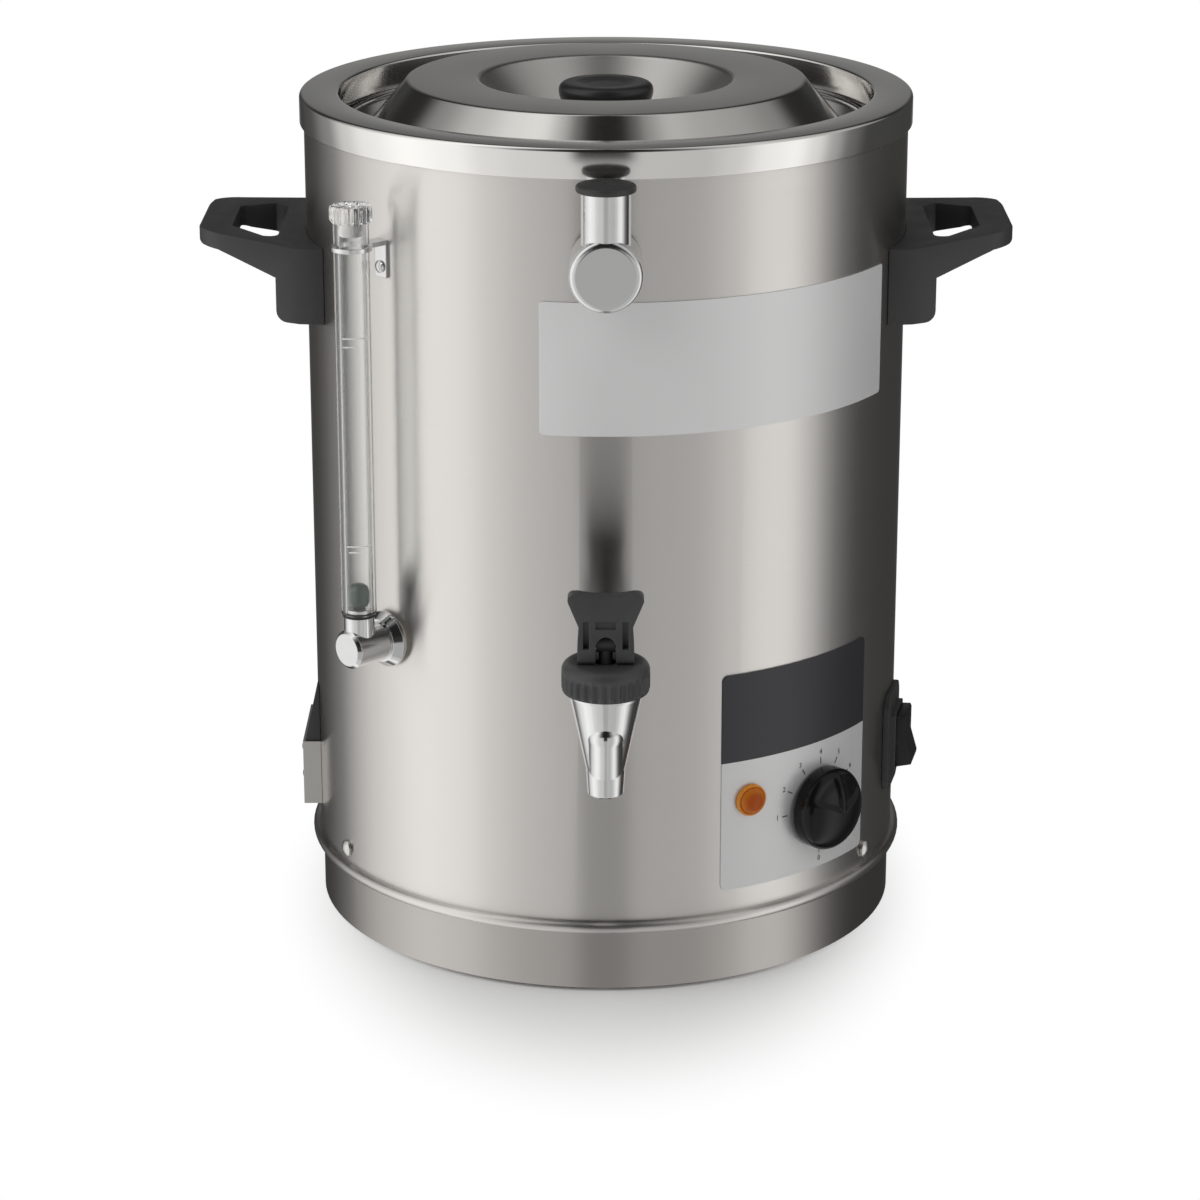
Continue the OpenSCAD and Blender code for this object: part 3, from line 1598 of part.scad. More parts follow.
// Way of the cord through the hood, out at the rear
module cord_way() {
  rotate([0, 0, -90])
    translate([-cord_w, -cord_path_r, cord_hole_h])
      rotate([0, 90, 0])
        cylinder(d = cord_path_d, h = cord_w);
}

// Hood over the cord hole: flat below, sloping back to the casing at the top, open to the rear for the cord
module cord_housing() {
  color(black_plastic)
    difference() {
      translate([0, 0, cord_low])
        rotate([0, 0, -90])
          translate([-cord_w / 2, -casing_r, 0])
            rotate([90, 0, 90])
              linear_extrude(cord_w)
                polygon([[15, 0], [-cord_out, 0], [-cord_out, cord_wedge_low], [1, cord_height], [15, cord_height]]);
      casing_cut();
      cord_way();
      outward(-90, casing_r - cut, cord_hole_h)
        cylinder(d = gland_d + 2 * move_gap, h = cord_out + cut - cord_plate_t);
      for (y = [-1, 1])
        outward(-90, casing_r, cord_hole_h + y * clamp_screw_pitch / 2)
          translate([clamp_screw_x, 0, 0.5])
            cylinder(d = clamp_screw_d, h = cord_out + cut);
    }
}

// Rubber grommet in the cord hole, with a flange on either side of the casing
module cord_gland() {
  color(black_rubber)
    difference() {
      union() {
        difference() {
          outward(-90, casing_r - gland_t, cord_hole_h)
            cylinder(d = gland_d, h = 2 * gland_t);
          casing_cut();
        }
        outward(-90, gland_in_r - gland_t, cord_hole_h) {
          cylinder(d = gland_d, h = gland_t);
          cylinder(d = cord_hole_d - 2 * seat_gap, h = casing_r - gland_in_r + 2 * gland_t);
        }
      }
      casing_hole(-90, cord_hole_h, gland_bore);
    }
}

// Steel strap over the lower part of the hood, folded back to the casing at both sides
module cord_clamp() {
  fold_x = cord_w / 2 + seat_gap;
  fold_h = cord_fold + cord_out + seat_gap;
  color(chrome)
    difference() {
      outward(-90, casing_r - cord_fold, cord_low + clamp_height / 2)
        difference() {
          translate([0, 0, (fold_h + cord_plate_t) / 2])
            cube([2 * (fold_x + cord_plate_t), clamp_height, fold_h + cord_plate_t], center = true);
          translate([-fold_x, -clamp_height, -cut])
            cube([2 * fold_x, 2 * clamp_height, fold_h + cut]);
        }
      casing_cut();
      cord_way();
      for (y = [-1, 1])
        outward(-90, casing_r, cord_hole_h + y * clamp_screw_pitch / 2)
          translate([clamp_screw_x, 0, 0])
            cylinder(d = clamp_screw_d + 2 * screw_play, h = cord_out + cut_reach);
    }
}

module cord_clamp_screws() {
  color(chrome)
    for (y = [-1, 1])
      outward(-90, casing_r + cord_out + cord_plate_t + 2 * seat_gap, cord_hole_h + y * clamp_screw_pitch / 2)
        translate([clamp_screw_x, 0, 0])
          dome_screw(clamp_screw_d - 2 * pin_play, cord_plate_t + cord_out - 1, 6.5, 1.8);
}

block_x = -40;
block_y = 30;
block_w = 52;
block_d = 18;
block_hole_d = 5;
block_pitch = 7.5;
block_screw_x = 22;
block_screw_d = 3.5;
block_h = 18;
block_ways = 5;

module terminal_block() {
  color([0.9, 0.9, 0.87])
    translate([block_x, block_y, plate_top])
      difference() {
        translate([-block_w / 2, -block_d / 2, 0])
          cube([block_w, block_d, block_h]);
        for (i = [0:block_ways - 1])
          translate([(i - (block_ways - 1) / 2) * block_pitch, 0, block_h - block_hole_d])
            cylinder(d = block_hole_d, h = block_hole_d + cut);
        for (x = [-1, 1])
          translate([x * block_screw_x, 0, -cut])
            cylinder(d = block_screw_d, h = block_h + 2 * cut);
      }
}

// Wires run as smooth curves between the terminals
wire_d = 2.4;
wire_steps = 14;
block_front = block_y - block_d / 2 - wire_gap;
block_rear = block_y + block_d / 2 + wire_gap;
block_clamp_h = plate_top + 8;
switch_tab_r = casing_in_r - switch_deep - switch_tab_len - wire_gap;
switch_in = [-sin(switch_az), cos(switch_az), 0];
switch_side = [cos(switch_az), sin(switch_az), 0];
lamp_tab_r = lamp_low - lamp_deep - lamp_tab_len - wire_gap;
wire_ends = [
  // terminal block to switch
  [[block_x + 12, block_front, block_clamp_h], [0, -30, 0], 45 * switch_in,
    5 * switch_side - switch_tab_r * switch_in + [0, 0, switch_h - 7]],
  [[block_x + 5, block_front, block_clamp_h], [0, -50, 0], 45 * switch_in - [0, 0, 10],
    [0, 0, switch_h - 7] - 5 * switch_side - switch_tab_r * switch_in],
  // switch to lamp and to thermostat
  [5 * switch_side - switch_tab_r * switch_in + [0, 0, switch_h + 7], 50 * switch_in + [0, 0, 20], [-20, 60, 20],
    [lamp_tab_r * sin(lamp_az), -lamp_tab_r * cos(lamp_az), lamp_h]],
  // gland to terminal block
  [[-casing_in_r, 0, cord_hole_h], [40, 0, 0], [0, 40, 0], [block_x, block_rear, block_clamp_h]],
  // cut-out to the heater
  [[cutout_x - 4, cutout_y, bath_floor_h - cutout_h - cutout_tab_len - wire_gap], [0, 0, -30], [0, 0, -40],
    [-heater_r * sin(heater_gap_angle / 2), heater_r * cos(heater_gap_angle / 2), heater_leg_low - heater_pin_len - wire_gap]]];

module wiring() {
  color([0.35, 0.2, 0.12])
    for (w = wire_ends)
      tube(curve(w[0], w[1], w[2], w[3], wire_steps), wire_d, 8);
}

casing();
casing_screws();
base_skirt();
base_plate();
feet();
inner_pot();
pot_rim();
bath_floor();
heating_element();
heater_nuts();
sensor_bulb();
safety_cutout();
lid();
lid_knob();
lid_knob_screw();
handle_left();
handle_right();
handle_screws();
handle_nuts();
gauge_tube();
gauge_cap();
gauge_clip();
gauge_clip_rivet();
gauge_elbow();
gauge_rosette();
gauge_gasket();
gauge_washer();
gauge_nut();
gauge_float();
fill_elbow();
fill_gasket();
fill_nut();
fill_plug();
tap_body();
tap_gasket();
tap_union_nut();
tap_bonnet();
tap_lever();
tap_pin();
tap_stem();
tap_seat_cup();
tap_spring();
control_panel();
front_foil();
pilot_lens();
pilot_body();
pilot_nut();
thermostat_knob();
thermostat_spindle();
thermostat_body();
thermostat_screws();
switch_plate();
switch_rocker();
switch_body();
cord_housing();
cord_clamp();
cord_clamp_screws();
cord_gland();
terminal_block();
wiring();
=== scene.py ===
import math

import bmesh
import bpy
from mathutils import Matrix, Vector


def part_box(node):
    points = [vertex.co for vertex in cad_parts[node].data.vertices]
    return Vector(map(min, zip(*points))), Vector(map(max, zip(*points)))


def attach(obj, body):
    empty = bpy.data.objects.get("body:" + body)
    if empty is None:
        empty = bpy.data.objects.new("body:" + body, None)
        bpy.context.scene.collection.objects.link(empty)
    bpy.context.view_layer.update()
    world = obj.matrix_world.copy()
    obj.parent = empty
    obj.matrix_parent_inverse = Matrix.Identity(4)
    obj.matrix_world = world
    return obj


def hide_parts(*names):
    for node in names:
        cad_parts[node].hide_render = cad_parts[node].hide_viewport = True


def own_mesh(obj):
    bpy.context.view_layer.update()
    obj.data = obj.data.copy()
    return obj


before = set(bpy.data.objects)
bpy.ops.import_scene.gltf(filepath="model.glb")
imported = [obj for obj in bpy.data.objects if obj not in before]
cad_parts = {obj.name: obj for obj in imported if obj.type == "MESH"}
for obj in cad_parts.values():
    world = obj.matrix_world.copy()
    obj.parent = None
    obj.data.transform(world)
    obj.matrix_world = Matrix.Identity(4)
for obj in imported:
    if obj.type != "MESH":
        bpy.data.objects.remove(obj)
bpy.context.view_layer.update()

# Base plate.
# A disc pressed from stainless sheet, with cooling slots, closes the underside.
# It is screwed to the turned-in edge of the skirt.
noise_low, noise_high = 0.3, 0.7


def knot(tree, kind, sockets=None, **settings):
    """One shader node; a socket takes a value or a link from another node."""
    node = tree.nodes.new(kind)
    for key, value in settings.items():
        setattr(node, key, value)
    for key, value in (sockets or {}).items():
        if isinstance(value, bpy.types.NodeSocket):
            tree.links.new(value, node.inputs[key])
        else:
            node.inputs[key].default_value = value
    return node


def own_place(tree):
    return knot(tree, "ShaderNodeTexCoord").outputs["Object"]


def maths(tree, operation, *terms):
    return knot(tree, "ShaderNodeMath", dict(enumerate(terms)), operation=operation).outputs[0]


def noise(tree, place, cells, detail, **more):
    """Cloudy pattern with about so many cells to the metre."""
    sockets = {"Vector": place, "Scale": cells, "Detail": detail, **more}
    return knot(tree, "ShaderNodeTexNoise", sockets).outputs[0]


def off_axis(tree, place, weights=(1, 1, 0)):
    """Distance from the upright axis of the body."""
    level = knot(tree, "ShaderNodeVectorMath", {0: place, 1: weights}, operation="MULTIPLY")
    far = knot(tree, "ShaderNodeVectorMath", {0: level.outputs[0]}, operation="LENGTH")
    return far.outputs["Value"]


def mingle(tree, share, first, second):
    """One pattern with a share of another in it."""
    return knot(tree, "ShaderNodeMix", {0: share, 2: first, 3: second}).outputs[0]


def blend(tree, share, first, second):
    """Colour that runs from the first to the second."""
    sockets = {0: share, 6: first, 7: second}
    return knot(tree, "ShaderNodeMix", sockets, data_type="RGBA").outputs[2]


def remap(tree, value, low, high, to_low=0.0, to_high=1.0, **settings):
    sockets = {"Value": value, "From Min": low, "From Max": high,
               "To Min": to_low, "To Max": to_high}
    return knot(tree, "ShaderNodeMapRange", sockets, **settings).outputs[0]


def press(tree, shader, pattern, strength, depth, **more):
    """Raises a pattern out of the surface, so deep in metres."""
    sockets = {"Strength": strength, "Distance": depth, "Height": pattern, **more}
    bump = knot(tree, "ShaderNodeBump", sockets)
    tree.links.new(bump.outputs[0], shader.inputs["Normal"])


def tinted(colour, share):
    return (*[min(1.0, c * share) for c in colour], 1.0)


def vary(tree, shader, pattern, colour, low, high, roughness, spread):
    """Lets one pattern drive colour and roughness together."""
    shade = blend(tree, pattern, tinted(colour, low), tinted(colour, high))
    tree.links.new(shade, shader.inputs["Base Color"])
    dull = remap(tree, pattern, noise_low, noise_high, roughness - spread, roughness + spread)
    tree.links.new(dull, shader.inputs["Roughness"])
    return shade


def bare_finish(name, colour, roughness, metallic=0.0):
    finish = bpy.data.materials.new(name)
    finish.use_nodes = True
    tree = finish.node_tree
    shader = tree.nodes["Principled BSDF"]
    shader.inputs["Base Color"].default_value = (*colour, 1.0)
    shader.inputs["Roughness"].default_value = roughness
    shader.inputs["Metallic"].default_value = metallic
    return finish, tree, shader


def brushed_sheet(name, colour, roughness, pitch, anisotropy, bite=0.12, mottle=0.05):
    """Stainless sheet with the belt grain running round the upright axis."""
    streaks, radius_share = 14.0, -0.8
    cloud_cells, cloud_share = 9.0, 0.25
    scratch_deep, quarter_turn = 0.00004, 0.25
    finish, tree, shader = bare_finish(name, colour, roughness, metallic=1.0)
    place = own_place(tree)
    axes = knot(tree, "ShaderNodeSeparateXYZ", {0: place}).outputs
    across = maths(tree, "MULTIPLY_ADD", off_axis(tree, place), radius_share, axes["Z"])
    drawn = knot(tree, "ShaderNodeCombineXYZ", {
        0: maths(tree, "MULTIPLY", axes["X"], streaks),
        1: maths(tree, "MULTIPLY", axes["Y"], streaks),
        2: maths(tree, "MULTIPLY", across, 1 / pitch)}).outputs[0]
    grain = noise(tree, drawn, cells=1.0, detail=4.0, Roughness=0.6)
    cloud = noise(tree, place, cloud_cells, detail=3.0)
    both = mingle(tree, cloud_share, grain, cloud)
    vary(tree, shader, both, colour, 1 - mottle, 1 + mottle / 2, roughness, mottle / 2)
    press(tree, shader, grain, bite, scratch_deep)
    shader.inputs["Anisotropic"].default_value = anisotropy
    shader.inputs["Anisotropic Rotation"].default_value = quarter_turn
    tangent = knot(tree, "ShaderNodeTangent", direction_type="RADIAL", axis="Z")
    tree.links.new(tangent.outputs[0], shader.inputs["Tangent"])
    return finish


def coat(finish, *nodes):
    for node in nodes:
        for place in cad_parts[node].material_slots:
            place.material = finish


plain_sheet = brushed_sheet("plain_sheet", (0.56, 0.55, 0.535), roughness=0.36,
                            pitch=0.0011, anisotropy=0.35)
coat(plain_sheet, "base_plate")

# Feet.
# Four soft black rubber buttons, moulded in one piece.
# Their necks are pushed through holes in the base plate.


def moulding(name, colour, roughness, grain, depth, edge=0.0006, worn=1.6, gloss=0.5):
    """Moulded plastic or rubber: fine spark grain, softened edges and a little wear on them."""
    cloud_cells, cloud_low, cloud_high = 60.0, 0.85, 1.15
    flat_turn, worn_turn = 0.995, 0.75
    dull_spread, grain_bite = 0.06, 0.3
    finish, tree, shader = bare_finish(name, colour, roughness)
    shader.inputs["Specular IOR Level"].default_value = gloss
    place = own_place(tree)
    spark = noise(tree, place, 1 / grain, detail=2.0)
    cloud = noise(tree, place, cloud_cells, detail=4.0)
    soft = knot(tree, "ShaderNodeBevel", {"Radius": edge}, samples=6).outputs[0]
    flat = knot(tree, "ShaderNodeNewGeometry").outputs["Normal"]
    turn = knot(tree, "ShaderNodeVectorMath", {0: soft, 1: flat}, operation="DOT_PRODUCT")
    rub = remap(tree, turn.outputs["Value"], flat_turn, worn_turn)
    broken = maths(tree, "MULTIPLY", rub, cloud)
    body = vary(tree, shader, cloud, colour, cloud_low, cloud_high, roughness, dull_spread)
    shade = blend(tree, broken, body, tinted(colour, worn))
    tree.links.new(shade, shader.inputs["Base Color"])
    press(tree, shader, spark, grain_bite, depth, Normal=soft)
    return finish


foot_rubber = moulding("foot_rubber", (0.022, 0.022, 0.023), roughness=0.72,
                       grain=0.0005, depth=0.00008)
coat(foot_rubber, "feet")

# Screws of the shell.
# Bright dome-head steel screws of one size, headed and rolled.
# They hold the base plate and, just above the bead, the casing.


def plating(name, colour, roughness, peel=0.0012):
    """Polished metal with the faint ripple of the polishing wheel."""
    haze_cells, haze_low, haze_high, haze_spread = 130.0, 0.94, 1.04, 0.03
    edge, ripple_bite, ripple_deep = 0.0005, 0.08, 0.00004
    finish, tree, shader = bare_finish(name, colour, roughness, metallic=1.0)
    place = own_place(tree)
    ripple = noise(tree, place, 1 / peel, detail=2.0)
    haze = noise(tree, place, haze_cells, detail=5.0)
    vary(tree, shader, haze, colour, haze_low, haze_high, roughness, haze_spread)
    soft = knot(tree, "ShaderNodeBevel", {"Radius": edge}, samples=4).outputs[0]
    press(tree, shader, ripple, ripple_bite, ripple_deep, Normal=soft)
    return finish


screw_steel = plating("screw_steel", (0.62, 0.61, 0.59), roughness=0.2)
coat(screw_steel, "casing_screws")

# Base skirt.
# A rolled band of the same stainless sheet stands under the bead of the casing; its colour is
# painted darker than the casing's, as painted shade near the floor.
# Its lower edge is turned in to carry the base plate.
# Painted shade: the casing sheet's colour, made about a third darker.
skirt_sheet_painted_shade = brushed_sheet("skirt_sheet_painted_shade", (0.475, 0.452, 0.435), roughness=0.3,
                            pitch=0.0005, anisotropy=0.9, bite=0.06)
coat(skirt_sheet_painted_shade, "base_skirt")

# Inner pot.
# Deep drawn from stainless sheet, with the outlet pipe welded in at its foot.
# It hangs by its edge in the folded rim.
pot_steel = brushed_sheet("pot_steel", (0.66, 0.645, 0.625), roughness=0.22,
                          pitch=0.0005, anisotropy=0.45, bite=0.06, mottle=0.03)
coat(pot_steel, "inner_pot")

# Pot rim.
# A ring spun from bright sheet: a ledge for the lid, a flat top and an apron over the casing.
# It closes the gap between pot and casing, and its folds are rounded by the spinning.
rim_gauge = 0.001
ledge_in, ledge_top = 0.118, 0.3785
rim_in, rim_out, rim_top, apron_low = 0.1236, 0.1419, 0.394, 0.3805
rim_around = 384


def rounded_line(corners, steps=6):
    """Outline through (radius, height, rounding) corners, with an arc at each rounded one."""
    line = []
    befores, afters = [None] + corners[:-1], corners[1:] + [None]
    for before, (x, y, r), after in zip(befores, corners, afters):
        if not r or before is None or after is None:
            line.append((x, y))
            continue
        corner = Vector((x, y))
        back = (Vector(before[:2]) - corner).normalized()
        ahead = (Vector(after[:2]) - corner).normalized()
        half = back.angle(ahead) / 2
        centre = corner + (back + ahead).normalized() * r / math.sin(half)
        start = corner + back * r / math.tan(half) - centre
        end = corner + ahead * r / math.tan(half) - centre
        sweep = start.angle_signed(end)
        for step in range(steps + 1):
            a = -sweep * step / steps
            line.append((centre.x + start.x * math.cos(a) - start.y * math.sin(a),
                         centre.y + start.x * math.sin(a) + start.y * math.cos(a)))
    return line


def skin(form, rings):
    """Faces between neighbouring rings of points; a ring may be a single point."""
    for low, high in zip(rings, rings[1:]):
        count = max(len(low), len(high))
        for i in range(count):
            k = (i + 1) % count
            corners = [low[i % len(low)], low[k % len(low)],
                       high[k % len(high)], high[i % len(high)]]
            unique = list(dict.fromkeys(corners))
            if len(unique) > 2:
                form.faces.new(unique)


def mesh_of(name, form):
    mesh = bpy.data.meshes.new(name)
    form.to_mesh(mesh)
    form.free()
    return mesh


def turned(name, profile, place, around=96, flute=None):
    """Round piece from (radius, height) pairs; flute(angle, radius, height) may rib it."""
    same_point = 1e-7
    form = bmesh.new()
    rings = []
    for radius, height in profile:
        if radius < same_point:
            rings.append([form.verts.new(place @ Vector((0, 0, height)))])
            continue
        ring = []
        for i in range(around):
            a = math.tau * i / around
            r = flute(a, radius, height) if flute else radius
            ring.append(form.verts.new(place @ Vector((r * math.cos(a), r * math.sin(a), height))))
        rings.append(ring)
    skin(form, rings)
    bmesh.ops.remove_doubles(form, verts=form.verts, dist=same_point)
    bmesh.ops.recalc_face_normals(form, faces=form.faces)
    return mesh_of(name, form)


def settle(name, mesh, finish, body, slot, *nodes, smooth=40):
    """Puts a finished mesh on its body, in place of the nodes that it stands for."""
    mesh.shade_smooth()
    mesh.set_sharp_from_angle(angle=math.radians(smooth))
    piece = bpy.data.objects.new(name, mesh)
    bpy.context.scene.collection.objects.link(piece)
    mesh.materials.append(finish)
    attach(piece, body)
    if nodes:
        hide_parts(*nodes)
    return piece


rim_steel = brushed_sheet("rim_steel", (0.82, 0.805, 0.785), roughness=0.12,
                          pitch=0.0005, anisotropy=0.3, bite=0.04, mottle=0.03)
rim_line = rounded_line([
    (ledge_in, ledge_top, 0), (rim_in, ledge_top, 0.0006), (rim_in, rim_top, 0.0012),
    (rim_out, rim_top, 0.002), (rim_out, apron_low, 0.0003),
    (rim_out - rim_gauge, apron_low, 0.0003), (rim_out - rim_gauge, rim_top - rim_gauge, 0.001),
    (rim_in + rim_gauge, rim_top - rim_gauge, 0.0003),
    (rim_in + rim_gauge, ledge_top - rim_gauge, 0.0003),
    (ledge_in, ledge_top - rim_gauge, 0), (ledge_in, ledge_top, 0)])
settle("folded_rim", turned("folded_rim", rim_line, Matrix.Identity(4), rim_around),
       rim_steel, "dispenser", "plain_steel", "pot_rim")

# Bath floor and what sits in the bath.
# The pressed floor is welded in below the pot and closes the water bath.
# A ring heater with two brass gland nuts, a copper bulb and a cut-out keep the water warm.
heater_sheath = plating("heater_sheath", (0.33, 0.32, 0.31), roughness=0.38, peel=0.0006)
brass = plating("brass", (0.72, 0.5, 0.2), roughness=0.26)
copper = plating("copper", (0.74, 0.38, 0.24), roughness=0.28)
cutout_plastic = moulding("cutout_plastic", (0.16, 0.1, 0.06), roughness=0.5,
                          grain=0.0004, depth=0.00004)
coat(plain_sheet, "bath_floor")
coat(heater_sheath, "heating_element")
coat(brass, "heater_nuts")
coat(copper, "sensor_bulb")
coat(cutout_plastic, "safety_cutout")

# Casing.
# The outer wall is rolled from belt-ground stainless sheet, with a bead pressed round its foot.
# It stands on the skirt and carries every fitting that shows.
casing_sheet = brushed_sheet("casing_sheet", (0.7, 0.677, 0.655), roughness=0.3,
                             pitch=0.0005, anisotropy=0.94, bite=0.06)
coat(casing_sheet, "casing")

# Wiring compartment under the bath.
# Switch, lamp and thermostat bodies, the terminal block and the leads between them.
# They are bought-in mouldings, hidden behind the casing.
white_plastic = moulding("white_plastic", (0.76, 0.74, 0.68), roughness=0.42,
                         grain=0.0005, depth=0.00003)
switch_plastic = moulding("switch_plastic", (0.03, 0.03, 0.032), roughness=0.45,
                          grain=0.0005, depth=0.00003)
lead_sheath = moulding("lead_sheath", (0.36, 0.06, 0.04), roughness=0.5,
                       grain=0.0008, depth=0.00002)
coat(white_plastic, "terminal_block", "thermostat_body", "pilot_body")
coat(switch_plastic, "switch_body", "pilot_nut")
coat(lead_sheath, "wiring")
coat(screw_steel, "thermostat_screws", "thermostat_spindle")

# Cord housing low on the left.
# A black moulded hood covers the cord hole, which a rubber gland lines.
# A steel strap folded at both sides is screwed over the lower part of the hood.
hood_edge, strap_edge = 0.001, 0.0005
strap_crease = 12


def rounded_copy(node, width, steps=3):
    """The moulding of a node with its edges rounded, as it comes out of the mould."""
    same_point, no_length = 2e-6, 1e-6
    flat_turn, edge_turn = math.radians(0.6), math.radians(28)
    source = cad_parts[node].data
    form = bmesh.new()
    points = [form.verts.new(v.co) for v in source.vertices]
    for face in source.polygons:
        try:
            form.faces.new([points[i] for i in face.vertices])
        except ValueError:
            continue
    bmesh.ops.remove_doubles(form, verts=form.verts, dist=same_point)
    bmesh.ops.dissolve_degenerate(form, dist=no_length, edges=form.edges)
    bmesh.ops.dissolve_limit(form, angle_limit=flat_turn, verts=form.verts, edges=form.edges)
    sharp = [e for e in form.edges if e.is_manifold and e.calc_face_angle(0.0) > edge_turn]
    bmesh.ops.bevel(form, geom=sharp, offset=width, segments=steps, profile=0.5,
                    affect="EDGES", clamp_overlap=True)
    bmesh.ops.recalc_face_normals(form, faces=form.faces)
    return mesh_of(node + "_moulded", form)


black_plastic = moulding("black_plastic", (0.034, 0.034, 0.035), roughness=0.5,
                         grain=0.0006, depth=0.00006)
clamp_sheet = brushed_sheet("clamp_sheet", (0.6, 0.585, 0.565), roughness=0.33,
                            pitch=0.0008, anisotropy=0.5)
settle("cord_hood", rounded_copy("cord_housing", hood_edge), black_plastic,
       "dispenser", "black_plastic", "cord_housing")
settle("cord_strap", rounded_copy("cord_clamp", strap_edge), clamp_sheet,
       "dispenser", "plain_steel", "cord_clamp", smooth=strap_crease)
coat(screw_steel, "cord_clamp_screws")
coat(foot_rubber, "cord_gland")

# Control panel and front plate.
# Both are printed foils stuck to the casing, with a fine metallic speck.
# The panel has a dark field over a silver one, and the front plate is plain silver.
field_border = 0.1088


def foil(name, colour, dark=None, border=0.0):
    roughness, metallic, dull_spread = 0.36, 0.35, 0.05
    speck_cells, sweep_cells = 2600.0, 14.0
    speck_bite, speck_deep = 0.1, 0.00003
    silver_low, silver_high, ink_low, ink_high = 0.95, 1.05, 0.9, 1.1
    finish, tree, shader = bare_finish(name, colour, roughness, metallic)
    place = own_place(tree)
    speck = noise(tree, place, speck_cells, detail=2.0)
    sweep = noise(tree, place, sweep_cells, detail=3.0)
    both = mingle(tree, 0.5, speck, sweep)
    silver = vary(tree, shader, both, colour, silver_low, silver_high, roughness,
                  dull_spread)
    if dark:
        height = knot(tree, "ShaderNodeSeparateXYZ", {0: place}).outputs["Z"]
        upper = maths(tree, "GREATER_THAN", height, border)
        ink = blend(tree, both, tinted(dark, ink_low), tinted(dark, ink_high))
        tree.links.new(blend(tree, upper, silver, ink), shader.inputs["Base Color"])
    press(tree, shader, both, speck_bite, speck_deep)
    return finish


panel_foil = foil("panel_foil", (0.65, 0.65, 0.655), (0.036, 0.036, 0.041), field_border)
silver_foil = foil("silver_foil", (0.73, 0.728, 0.735))
coat(panel_foil, "control_panel")
coat(silver_foil, "front_foil")

# Scale of the dial.
# Black ink printed on the silver field: a short stroke and a plain number for each stop.
# It lies on the foil and follows the curve of the casing.
casing_r, foil_thick, ink_thick = 0.140, 0.00062, 0.00008
dial_az, dial_z = math.radians(45), 0.077
stroke_from, stroke_to, stroke_half = 0.0206, 0.0238, 0.00026
number_r, number_size = 0.0264, 0.0036
scale_stops = [(180, "0"), (90, "1"), (60, "2"), (30, "3"), (0, "4"), (-30, "5"), (-60, "6")]


def on_wall(az, height, radius):
    return Vector((radius * math.sin(az), -radius * math.cos(az), height))


def printed(name, outlines):
    """Ink on the wall: flat outlines in metres round the dial, bent to the casing's curve."""
    ink_r = casing_r + foil_thick + ink_thick
    form = bmesh.new()
    for points, faces in outlines:
        made = [form.verts.new(on_wall(dial_az + x / casing_r, dial_z + y, ink_r))
                for x, y in points]
        for face in faces:
            form.faces.new([made[i] for i in face])
    return mesh_of(name, form)


strokes = []
for turn, digit in scale_stops:
    a = math.radians(turn)
    out = Vector((-math.sin(a), math.cos(a)))
    side = Vector((out.y, -out.x)) * stroke_half
    near, far, middle = out * stroke_from, out * stroke_to, out * number_r
    ends = [near - side, near + side, far + side, far - side]
    strokes.append(([tuple(p) for p in ends], [(0, 1, 2, 3)]))
    number = bpy.data.curves.new("scale_" + digit, "FONT")
    number.body = digit
    number.size = number_size
    number.align_x, number.align_y = "CENTER", "CENTER"
    holder = bpy.data.objects.new("scale_" + digit, number)
    flat = bpy.data.meshes.new_from_object(holder)
    strokes.append(([(v.co.x + middle.x, v.co.y + middle.y) for v in flat.vertices],
                    [tuple(p.vertices) for p in flat.polygons]))
    bpy.data.objects.remove(holder)
    bpy.data.curves.remove(number)
    bpy.data.meshes.remove(flat)
scale_ink = moulding("scale_ink", (0.03, 0.03, 0.032), roughness=0.5,
                     grain=0.0004, depth=0.00002)
settle("dial_scale", printed("dial_scale", strokes), scale_ink, "dispenser", "panel_foil")

# Pilot lamp.
# A clear orange plastic lens, moulded as a ringed dome over a stepped flange; its flange ring
# carries a painted glow.
# It clips in from the front; its body and nut sit behind the casing.
lamp_az, lamp_r, lamp_z = math.radians(28), 0.1407, 0.0895
flange_r, dome_r, dome_low, dome_rise = 0.0075, 0.0061, 0.0021, 0.0031
dome_steps, ring_rise = 12, 0.00012
core_dark, core_light = (0.34, 0.055, 0.0005, 1), (0.46, 0.085, 0.001, 1)
# Painted glow: the flange ring is coloured a lighter orange, as of light gathered in its thin
# edge.
painted_flange_glow, painted_glow_from, painted_glow_to = (0.72, 0.27, 0.03, 1), 0.0058, 0.0074
swirl_cells, lens_smooth, lens_dull = 300.0, 0.22, 0.36


def outward(az, radius, height):
    """Frame on the wall: x to the right, y up, z out of the body."""
    stand = Matrix.Translation((0, -radius, height)) @ Matrix.Rotation(math.pi / 2, 4, "X")
    return Matrix.Rotation(az, 4, "Z") @ stand


lens_profile = [(0, 0), (0.0074, 0), (flange_r, 0.0003), (flange_r, 0.0016), (0.0071, 0.0021),
                (0.0066, 0.0022), (0.0063, 0.0019)]
for step in range(dome_steps):
    t = step / dome_steps
    ring = ring_rise * (1 - t) if step % 2 else 0.0
    lens_profile.append((dome_r * math.cos(t * math.pi / 2),
                         dome_low + dome_rise * math.sin(t * math.pi / 2) + ring))
lens_profile.append((0, dome_low + dome_rise))
orange_lens, tree, shader = bare_finish("orange_lens", (0.62, 0.13, 0.004), roughness=0.16)
place = own_place(tree)
lamp_middle = tuple(on_wall(lamp_az, lamp_z, lamp_r))
from_middle = knot(tree, "ShaderNodeVectorMath", {0: place, 1: lamp_middle}, operation="DISTANCE")
